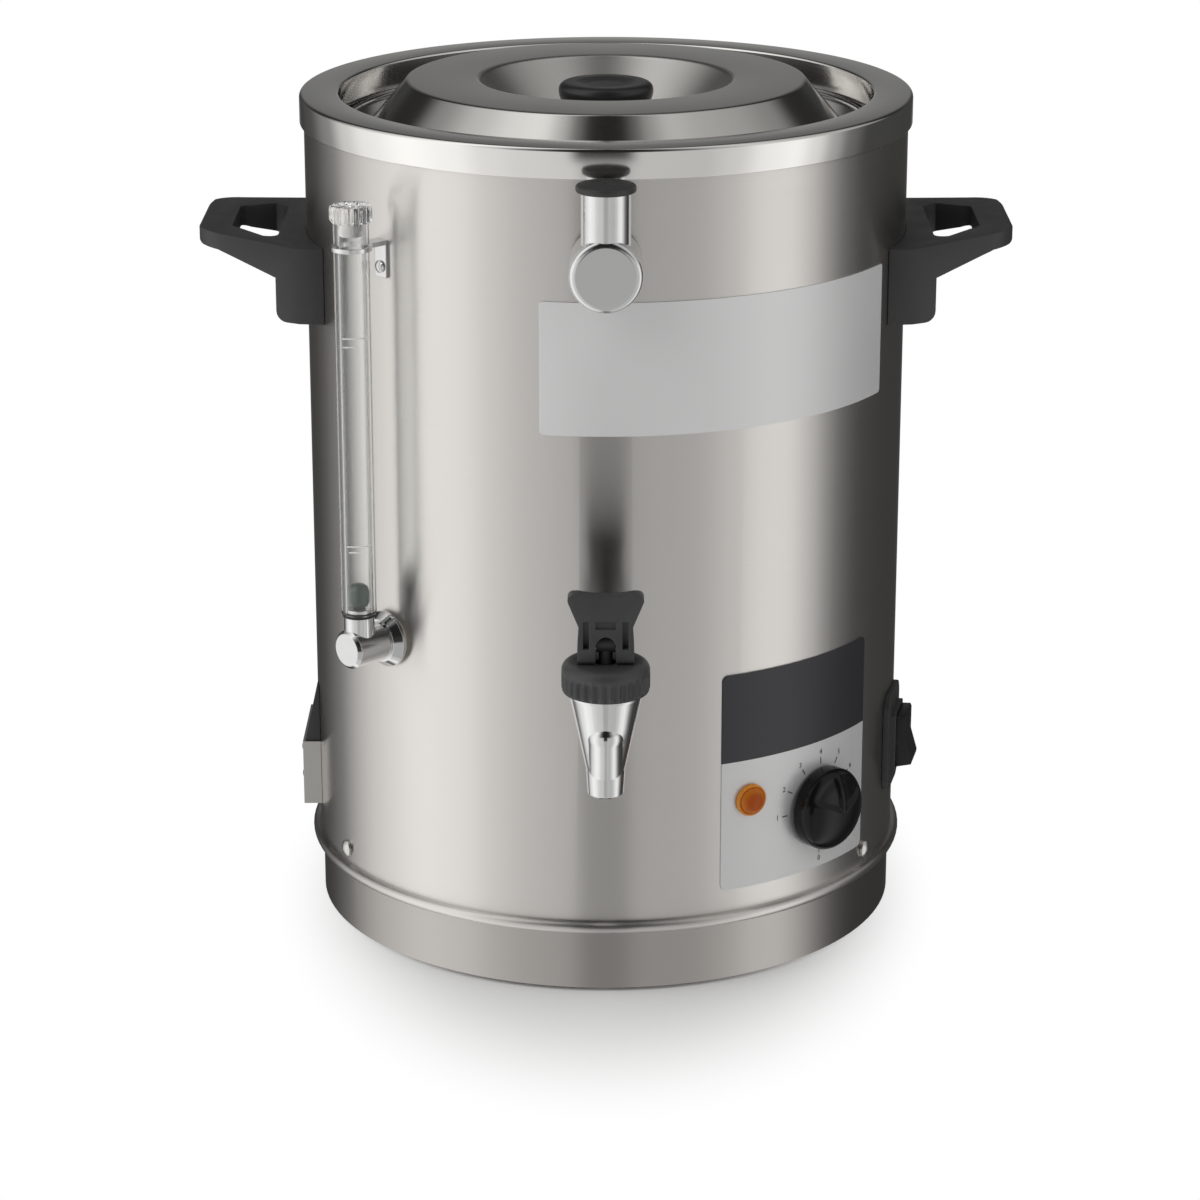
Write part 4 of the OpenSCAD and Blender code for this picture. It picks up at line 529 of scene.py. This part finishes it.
# Share of the painted glow, rising towards the flange ring.
flange = remap(tree, from_middle.outputs["Value"], painted_glow_from, painted_glow_to)
swirl = noise(tree, place, swirl_cells, detail=3.0)
glow = blend(tree, flange, blend(tree, swirl, core_dark, core_light), painted_flange_glow)
tree.links.new(glow, shader.inputs["Base Color"])
dull = remap(tree, swirl, 0.0, 1.0, lens_smooth, lens_dull)
tree.links.new(dull, shader.inputs["Roughness"])
shader.inputs["Subsurface Weight"].default_value = 0.25
shader.inputs["Specular IOR Level"].default_value = 0.2
shader.inputs["Subsurface Radius"].default_value = (0.003, 0.001, 0.0003)
settle("lamp_lens", turned("lamp_lens", lens_profile, outward(lamp_az, lamp_r, lamp_z)),
       orange_lens, "dispenser", "orange_lens", "pilot_lens")

# Thermostat knob.
# A glossy black phenolic moulding pushed on the spindle, with a full round crown.
# Two shallow hollows in its upper half leave a thin pointer rib standing between them.
knob_back_r, knob_r, knob_deep = 0.1414, 0.0195, 0.015
crown_drop, crown_reach, crown_power = 0.0105, 0.985, 2.3
hollow_deep, rib_half, hollow_side, hollow_slope = 0.0017, 0.0008, 0.0026, 0.45
hollow_low, hollow_high, hollow_reach = -0.0006, 0.003, 0.75
knob_around, crown_steps, crown_crowd = 120, 40, 0.6


def ease(low, high, value):
    t = min(1.0, max(0.0, (value - low) / (high - low)))
    return t * t * (3 - 2 * t)


def knob_crown(x, y):
    """Height of the knob's face above its back."""
    r = min(1.0, math.hypot(x, y) / knob_r)
    fall = 1 - math.sqrt(max(0.0, 1 - (r * crown_reach) ** crown_power))
    beside = ease(rib_half, hollow_side, abs(x))
    above = ease(hollow_low, hollow_high, y - hollow_slope * abs(x))
    inside = ease(1.0, hollow_reach, r)
    return knob_deep - crown_drop * fall - hollow_deep * beside * above * inside


def knob_ring(form, radius, height):
    """One ring of the knob; the height is a value, or a function of the place."""
    ring = []
    for i in range(knob_around):
        a = math.tau * i / knob_around
        x, y = radius * math.cos(a), radius * math.sin(a)
        ring.append(form.verts.new((x, y, height(x, y) if callable(height) else height)))
    return ring


form = bmesh.new()
rings = [knob_ring(form, radius, height) for radius, height in
         [(0.0155, 0.0), (0.019, 0.0), (0.0194, 0.0004), (knob_r, 0.001)]]
for step in range(crown_steps):
    radius = knob_r * math.cos(step / crown_steps * math.pi / 2) ** crown_crowd
    rings.append(knob_ring(form, radius, knob_crown))
rings.append([form.verts.new((0, 0, knob_crown(0, 0)))])
skin(form, rings)
knob_place = outward(dial_az, knob_back_r, dial_z)
bmesh.ops.transform(form, matrix=knob_place, verts=form.verts)
bmesh.ops.recalc_face_normals(form, faces=form.faces)
black_gloss = moulding("black_gloss", (0.006, 0.006, 0.0063), roughness=0.17, grain=0.0012,
                       depth=0.00002, edge=0.0008, worn=3.0, gloss=0.24)
settle("dial_knob", mesh_of("dial_knob", form), black_gloss, "thermostat_knob",
       "black_gloss", "thermostat_knob", smooth=60)

# Rocker switch on the right.
# A black moulded plate snaps into the casing and holds a rocker that tips on two stubs.
# The lower end of the rocker stands out at rest.
plate_edge, rocker_edge = 0.0009, 0.0007
rocker_gloss = moulding("rocker_gloss", (0.014, 0.014, 0.0145), roughness=0.34,
                        grain=0.0009, depth=0.00003, gloss=0.3)
settle("rocker_plate", rounded_copy("switch_plate", plate_edge), black_plastic,
       "dispenser", "black_gloss", "switch_plate")
settle("rocker_key", rounded_copy("switch_rocker", rocker_edge), rocker_gloss,
       "switch_rocker", "black_gloss", "switch_rocker")

# Sight gauge on the left.
# A clear acrylic tube stands in a chromed elbow with a rosette, held to the wall by a wire clip.
# A dark green float rides inside; rubber, silicone and a brass nut seal the elbow to the bath.
chrome = plating("chrome", (0.72, 0.72, 0.725), roughness=0.09)
seal_rubber = moulding("seal_rubber", (0.02, 0.02, 0.02), roughness=0.6,
                       grain=0.0006, depth=0.00004)
silicone = moulding("silicone", (0.5, 0.48, 0.44), roughness=0.55, grain=0.0008, depth=0.00003)
green_float = moulding("green_float", (0.02, 0.06, 0.04), roughness=0.35,
                       grain=0.0006, depth=0.00003)


def clear_moulding(name, colour, roughness):
    clearness, bending = 0.97, 1.47
    wave_cells, wave_low, wave_bite, wave_deep = 90.0, 0.97, 0.1, 0.0001
    dull_share = 0.6
    finish, tree, shader = bare_finish(name, colour, roughness)
    shader.inputs["Transmission Weight"].default_value = clearness
    shader.inputs["IOR"].default_value = bending
    wave = noise(tree, own_place(tree), wave_cells, detail=3.0)
    vary(tree, shader, wave, colour, wave_low, 1.0, roughness, roughness * dull_share)
    press(tree, shader, wave, wave_bite, wave_deep)
    return finish


clear_tube = clear_moulding("clear_tube", (0.99, 0.995, 0.99), roughness=0.09)
coat(chrome, "gauge_elbow", "gauge_rosette", "gauge_clip", "gauge_clip_rivet")
coat(brass, "gauge_nut")
coat(seal_rubber, "gauge_washer")
coat(silicone, "gauge_gasket")
coat(clear_tube, "gauge_tube")
coat(green_float, "gauge_float")

# Cap of the gauge.
# A clear moulded stopper with a fluted head for the fingers.
# Its plain stub is pushed into the open top of the tube.
gauge_foot = Matrix.Translation(on_wall(math.radians(-45), 0.0, 0.158))
stub_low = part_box("gauge_cap")[0].z
stub_r, head_r, head_low, head_top = 0.0053, 0.0096, 0.3556, 0.363
flutes, flute_deep, flute_from, flute_power = 14, 0.0007, 0.0088, 0.7
cap_around = 168


def cap_ribs(angle, radius, height):
    if radius < flute_from or height < head_low:
        return radius
    return radius - flute_deep * (0.5 - 0.5 * math.cos(flutes * angle)) ** flute_power


cap_profile = [(0, stub_low), (0.0048, stub_low), (stub_r, stub_low + 0.0006), (stub_r, head_low),
               (0.0086, head_low), (0.0092, 0.3561), (head_r, 0.357), (head_r, 0.361),
               (0.0093, 0.3624), (0.0086, head_top), (0.006, head_top), (0.0052, 0.3625),
               (0, 0.3622)]
settle("tube_cap", turned("tube_cap", cap_profile, gauge_foot, cap_around, cap_ribs),
       clear_tube, "dispenser", "clear_tube", "gauge_cap")

# Level strokes of the gauge: painted highlights.
# Near-white paint round the front of the tube stands in for the highlights on raised level rings:
# a long and a short stroke at each of two levels.
# The painted highlights lie on the outside of the tube.
highlight_paint_r, level_half, level_sag = 0.00804, 0.0003, 0.0003
level_turn, level_steps = 4, 24
levels = ((0.3045, -36, 48), (0.3006, -36, 14), (0.2086, -36, 48), (0.2059, -30, 10))
form = bmesh.new()
for height, from_turn, to_turn in levels:
    strip = []
    for step in range(level_steps + 1):
        t = step / level_steps
        a = math.radians(level_turn + from_turn + (to_turn - from_turn) * t)
        middle = height + level_sag * (1 - math.cos(math.tau * t)) / 2
        strip.append([form.verts.new(gauge_foot @ on_wall(a, middle + edge, highlight_paint_r))
                      for edge in (-level_half, level_half)])
    for low, high in zip(strip, strip[1:]):
        form.faces.new([low[0], high[0], high[1], low[1]])
# Painted highlights: a near-white finish for the strokes of the level rings.
level_highlight_paint = moulding("level_highlight_paint", (0.8, 0.8, 0.79), roughness=0.5, grain=0.0005, depth=0.00002)
settle("painted_level_highlights", mesh_of("painted_level_highlights", form), level_highlight_paint, "dispenser", "clear_tube")

# Filler at the top front.
# A chromed elbow with an upright mouth feeds the water bath, sealed by a gasket and a brass nut.
# A soft black rubber plug with a domed head closes it.
plug_place = Matrix.Translation((0, -0.1587, 0.379))
neck_r, neck_low, head_r, head_thick = 0.00795, -0.014, 0.013, 0.003
plug_rubber = moulding("plug_rubber", (0.03, 0.03, 0.03), roughness=0.5, grain=0.0006,
                       depth=0.00006, edge=0.0005)
plug_line = rounded_line([
    (0, neck_low, 0), (neck_r - 0.001, neck_low, 0.0006), (neck_r, neck_low + 0.003, 0.001),
    (neck_r, 0, 0.0002), (head_r, 0, 0.0009), (head_r, head_thick, 0.0013),
    (0.0065, 0.004, 0.004), (0.0025, 0.004, 0.0004), (0.0016, 0.0032, 0.0004), (0, 0.0032, 0)])
coat(chrome, "fill_elbow")
coat(brass, "fill_nut")
coat(seal_rubber, "fill_gasket")
settle("domed_plug", turned("domed_plug", plug_line, plug_place), plug_rubber,
       "fill_plug", "black_rubber", "fill_plug")

# Tap body.
# A chromed brass casting held to the outlet pipe by a union nut and a gasket.
# The stem carries a silicone cup that closes the seat inside.
coat(chrome, "tap_body", "tap_union_nut")
coat(screw_steel, "tap_pin")
coat(black_plastic, "tap_stem")
coat(seal_rubber, "tap_gasket")
coat(silicone, "tap_seat_cup")

# Bonnet of the tap.
# A dark plastic cap with a ribbed wall and a rounded shoulder.
# It screws down on the body and guides the stem.
tap_y = -0.19
bonnet_low, bonnet_high = [corner.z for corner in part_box("tap_bonnet")]
bonnet_r, bonnet_round = 0.01925, 0.004
wall_from, wall_to = bonnet_low + 0.0022, bonnet_high - 0.0041
rib_count, rib_deep, rib_power, ribbed_from = 30, 0.0013, 0.6, 0.016
rib_foot, rib_full = bonnet_low + 0.0004, bonnet_low + 0.002
rib_fade, rib_end = bonnet_high - 0.0064, bonnet_high - 0.0042
wall_steps, shoulder_steps, bonnet_around = 10, 12, 360


def bonnet_ribs(angle, radius, height):
    if radius < ribbed_from:
        return radius
    rise = ease(rib_foot, rib_full, height) * ease(rib_end, rib_fade, height)
    return radius - rib_deep * rise * (0.5 - 0.5 * math.cos(rib_count * angle)) ** rib_power


bonnet_profile = [(0.0143, bonnet_low), (0.0175, bonnet_low), (0.0186, bonnet_low + 0.0005),
                  (0.0191, bonnet_low + 0.0014)]
for step in range(wall_steps + 1):
    bonnet_profile.append((bonnet_r, wall_from + step / wall_steps * (wall_to - wall_from)))
for step in range(1, shoulder_steps + 1):
    a = step / shoulder_steps * math.pi / 2
    bonnet_profile.append((bonnet_r - bonnet_round * (1 - math.cos(a)),
                           bonnet_high - bonnet_round + bonnet_round * math.sin(a)))
bonnet_profile += [(0.0085, bonnet_high), (0.0082, bonnet_high - 0.0004),
                   (0.0066, bonnet_high - 0.0006), (0.0046, bonnet_high - 0.0006)]
tap_grey = moulding("tap_grey", (0.045, 0.045, 0.046), roughness=0.48,
                    grain=0.0006, depth=0.00006)
bonnet_mesh = turned("ribbed_bonnet", bonnet_profile, Matrix.Translation((0, tap_y, 0)),
                     bonnet_around, bonnet_ribs)
settle("ribbed_bonnet", bonnet_mesh, tap_grey, "dispenser", "black_plastic", "tap_bonnet",
       smooth=70)

# Lever of the tap.
# A dark plastic moulding, hollow in front, that tips on a pin through the stem.
# Its foot bears on the bonnet and lifts the stem.
lever_edge = 0.0008
settle("tap_paddle", rounded_copy("tap_lever", lever_edge), tap_grey, "tap_lever",
       "black_plastic", "tap_lever")

# Closing spring of the tap.
# Wound from steel wire round the stem, between the cup and the bonnet.
# It shortens from below as the stem lifts; here it is built once, at rest, and does not shorten.
spring_low, spring_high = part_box("tap_spring")
spring_turns, wire_r, wire_sides, turn_steps = 7, 0.0006, 12, 36
spring_r = (spring_high.x - spring_low.x) / 2 - wire_r
spring_len = spring_high.z - spring_low.z
form = bmesh.new()
rings = []
for i in range(spring_turns * turn_steps + 1):
    t = i / (spring_turns * turn_steps)
    a = math.tau * spring_turns * t
    outer, upper = Vector((math.cos(a), math.sin(a), 0)), Vector((0, 0, 1))
    climb = spring_low.z + wire_r + (spring_len - 2 * wire_r) * t
    middle = Vector((0, tap_y, climb)) + outer * spring_r
    ring = []
    for k in range(wire_sides):
        b = math.tau * k / wire_sides
        ring.append(form.verts.new(middle + wire_r * (outer * math.cos(b) + upper * math.sin(b))))
    rings.append(ring)
skin(form, rings)
form.faces.new(rings[0])
form.faces.new(rings[-1])
bmesh.ops.recalc_face_normals(form, faces=form.faces)
spring = settle("closing_spring", mesh_of("closing_spring", form), screw_steel,
                "dispenser", "screw_steel", "tap_spring")
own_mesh(spring)

# Handles.
# Two black moulded loops with a finger hole.
# Each is screwed through the casing into nuts behind it.
loop_edge, loop_steps = 0.0012, 4
for side in ("left", "right"):
    settle("loop_" + side, rounded_copy("handle_" + side, loop_edge, loop_steps),
           black_plastic, "dispenser", "black_plastic", "handle_" + side)
coat(screw_steel, "handle_screws", "handle_nuts")

# Lid.
# Spun from stainless sheet, with a bright raised crown, a satin dish and a rolled hem.
# It drops loosely into the mouth of the pot and rests on the ledge of the rim.
lid_gauge, lid_around, lid_steps = 0.0008, 384, 10
dish_z, crown_z, brim_z = 0.3723, 0.3993, 0.3793
hem_r, hem_at, hem_z = 0.0012, 0.1208, 0.3797
bright, satin, satin_to, bright_from = 0.14, 0.4, 0.0575, 0.06
lid_steel = brushed_sheet("lid_steel", (0.64, 0.625, 0.605), roughness=bright,
                          pitch=0.0005, anisotropy=0.3, bite=0.04, mottle=0.03)
tree = lid_steel.node_tree
dull = remap(tree, off_axis(tree, own_place(tree)), satin_to, bright_from, satin, bright)
tree.links.new(dull, tree.nodes["Principled BSDF"].inputs["Roughness"])
lid_top = [(0, dish_z, 0), (0.036, dish_z, 0.012), (0.059, crown_z, 0.003),
           (0.092, crown_z, 0.0025), (0.109, brim_z, 0.002), (hem_at - hem_r, brim_z, 0)]
hem_turns = [math.radians(turn) for turn in range(180, -91, -18)]
lid_hem = [(hem_at + hem_r * math.cos(a), hem_z + hem_r * math.sin(a)) for a in hem_turns]
lid_under = [(r, z - lid_gauge, bend) for r, z, bend in reversed(lid_top)]
lid_line = rounded_line(lid_top, lid_steps) + lid_hem + rounded_line(lid_under, lid_steps)
settle("spun_lid", turned("spun_lid", lid_line, Matrix.Identity(4), lid_around), lid_steel,
       "lid", "plain_steel", "lid")

# Knob of the lid.
# A black moulding with a waisted stem and a hollow top, standing in the dish.
# A screw and washer hold it from below.
grip_foot_r, grip_r = 0.013, 0.022
grip_foot, grip_waist, grip_top = 0.0003, 0.021, 0.025
waist_steps, crown_bend_steps, grip_around = 24, 9, 144
grip_line = [(0, 0), (0.0126, 0)]
for step in range(waist_steps + 1):
    t = step / waist_steps
    grip_line.append((grip_foot_r + (grip_r - grip_foot_r) * ease(0, 1, t),
                      grip_foot + (grip_waist - grip_foot) * t))
grip_line += rounded_line([(grip_r, grip_waist, 0), (grip_r, grip_top, 0.0038),
                           (0.014, 0.0248, 0.004), (0.009, 0.0236, 0.006), (0, 0.0234, 0)],
                          crown_bend_steps)
lid_black = moulding("lid_black", (0.018, 0.018, 0.0185), roughness=0.34,
                     grain=0.0008, depth=0.00003)
grip_mesh = turned("lid_grip", grip_line, Matrix.Translation((0, 0, dish_z)), grip_around)
settle("lid_grip", grip_mesh, lid_black, "lid", "black_plastic", "lid_knob")
coat(screw_steel, "lid_knob_screw")

# Floor of the studio.
# Pale paper that takes the shadow under the feet and fades into plain white further out.
# It is clear from below, and the metal does not mirror it.
floor_r, floor_sides, paper_cells = 0.3, 96, 300.0
shadow_to, white_from, side_squeeze = 0.14, 0.28, 1.7
paper_dark, paper_pale = (0.93, 0.93, 0.93, 1), (0.96, 0.96, 0.955, 1)
form = bmesh.new()
bmesh.ops.create_circle(form, cap_ends=True, segments=floor_sides, radius=floor_r)
floor = bpy.data.objects.new("floor", mesh_of("floor", form))
bpy.context.scene.collection.objects.link(floor)
floor.visible_glossy = False
floor_paper = bpy.data.materials.new("floor_paper")
floor_paper.use_nodes = True
tree = floor_paper.node_tree
tree.nodes.clear()
place = own_place(tree)
paper = noise(tree, place, paper_cells, detail=3.0)
tone = blend(tree, paper, paper_dark, paper_pale)
matt = knot(tree, "ShaderNodeBsdfDiffuse", {"Color": tone}).outputs[0]
white = knot(tree, "ShaderNodeEmission", {"Strength": 1.0}).outputs[0]
fade = remap(tree, off_axis(tree, place, (side_squeeze, 1.0, 0.0)), shadow_to, white_from,
             interpolation_type="SMOOTHSTEP")
rays = knot(tree, "ShaderNodeLightPath").outputs
seen = maths(tree, "MAXIMUM", rays["Is Camera Ray"], rays["Is Transmission Ray"])
share = maths(tree, "MULTIPLY", fade, seen)
shown = knot(tree, "ShaderNodeMixShader", {0: share, 1: matt, 2: white}).outputs[0]
clear = knot(tree, "ShaderNodeBsdfTransparent").outputs[0]
under = knot(tree, "ShaderNodeNewGeometry").outputs["Backfacing"]
both = knot(tree, "ShaderNodeMixShader", {0: under, 1: shown, 2: clear}).outputs[0]
knot(tree, "ShaderNodeOutputMaterial", {0: both})
floor.data.materials.append(floor_paper)

# Surroundings of the studio.
# Polished metal sees two softboxes and the dark gaps between them; the eye sees plain white.
# Each list gives (bearing in degrees from the front, brightness), at the floor, wall and roof.
room = bpy.data.worlds.new("studio")
bpy.context.scene.world = room
room.use_nodes = True
tree = room.node_tree
tree.nodes.clear()
sight = knot(tree, "ShaderNodeTexCoord").outputs["Generated"]
look = knot(tree, "ShaderNodeSeparateXYZ", {0: sight}).outputs
bearing = maths(tree, "ARCTAN2", look["X"], maths(tree, "MULTIPLY", look["Y"], -1.0))
round_turn = remap(tree, bearing, -math.pi, math.pi)
warmth = 0.985
wall_low, wall_high, roof_low, roof_high = -0.22, -0.08, 0.08, 0.3


def surround(stops):
    """Brightness of the studio by bearing; the first two stops are the ends, straight behind."""
    ramp = knot(tree, "ShaderNodeValToRGB", {0: round_turn})
    ramp.color_ramp.interpolation = "EASE"
    for i, (degrees, level) in enumerate(stops):
        position = (degrees + 180) / 360
        if i < 2:
            stop = ramp.color_ramp.elements[i]
            stop.position = position
        else:
            stop = ramp.color_ramp.elements.new(position)
        stop.color = (level, level, level * warmth, 1)
    return ramp.outputs[0]


behind = [(-180, 0.3), (180, 0.3)]
left_box = [(-172, 0.2), (-162, 0.05), (-145, 0.08), (-126, 0.26), (-113, 0.7), (-100, 0.98),
            (-78, 1.2), (-58, 1.08), (-44, 0.85), (-30, 0.75)]
right_box = [(36, 0.58), (48, 0.7), (62, 1.0), (74, 1.1), (84, 0.82), (93, 0.42), (102, 0.16),
             (114, 0.06), (162, 0.05), (172, 0.2)]
low_gap = [(-13, 0.7), (-7, 0.5), (6, 0.5), (12, 0.6)]
wall_gap = [(-15, 0.7), (-9, 0.04), (7, 0.04), (13, 0.6)]
ground = surround(behind + left_box + low_gap + right_box)
wall = surround(behind + left_box + wall_gap + right_box)
roof = surround([(-180, 0.14), (180, 0.14), (-168, 0.13), (-150, 0.03), (-134, 0.03),
                 (-121, 0.36), (-100, 0.75), (-80, 1.05), (-62, 1.15), (-45, 0.65), (-32, 0.2),
                 (-18, 0.02), (18, 0.02), (32, 0.15), (45, 0.42), (62, 0.7), (85, 0.56),
                 (100, 0.5), (121, 0.34), (134, 0.03), (150, 0.03), (168, 0.13)])
to_wall = remap(tree, look["Z"], wall_low, wall_high, interpolation_type="SMOOTHSTEP")
to_roof = remap(tree, look["Z"], roof_low, roof_high, interpolation_type="SMOOTHSTEP")
studio = blend(tree, to_roof, blend(tree, to_wall, ground, wall), roof)
rays = knot(tree, "ShaderNodeLightPath").outputs
sky = blend(tree, rays["Is Camera Ray"], studio, (1, 1, 1, 1))
light = knot(tree, "ShaderNodeBackground", {"Color": sky, "Strength": 1.0}).outputs[0]
knot(tree, "ShaderNodeOutputWorld", {0: light})

# Lights and camera.
# Three soft boxes, to the left, to the right and above, fill the shadows without being mirrored.
# The camera stands in front, a little above the rim.
aim = Vector((0, 0, 0.2))
for name, spot, power, width in (("key_box", (-1.3, -1.5, 1.7), 12.0, 1.4),
                                 ("fill_box", (1.6, -1.2, 1.4), 7.0, 1.2),
                                 ("top_box", (0.0, 0.5, 2.2), 9.0, 1.6)):
    box = bpy.data.lights.new(name, "AREA")
    box.energy = power
    box.size = width
    lamp = bpy.data.objects.new(name, box)
    lamp.location = spot
    lamp.rotation_euler = (aim - Vector(spot)).to_track_quat("-Z", "Y").to_euler()
    lamp.visible_glossy = False
    bpy.context.scene.collection.objects.link(lamp)

sensor, picture_dots, focal_dots = 36.0, 1200, 3691.9
camera_tilt, camera_pan_dots = 0.3195, 6.1
eye = bpy.data.cameras.new("camera")
eye.sensor_width = sensor
eye.lens = sensor * focal_dots / picture_dots
camera = bpy.data.objects.new("camera", eye)
camera.location = (0.0, -1.6976, 0.7059)
camera.rotation_euler = (math.pi / 2 - camera_tilt, 0.0, camera_pan_dots / focal_dots)
bpy.context.scene.collection.objects.link(camera)
bpy.context.scene.camera = camera
bpy.context.scene.view_settings.view_transform = "Standard"
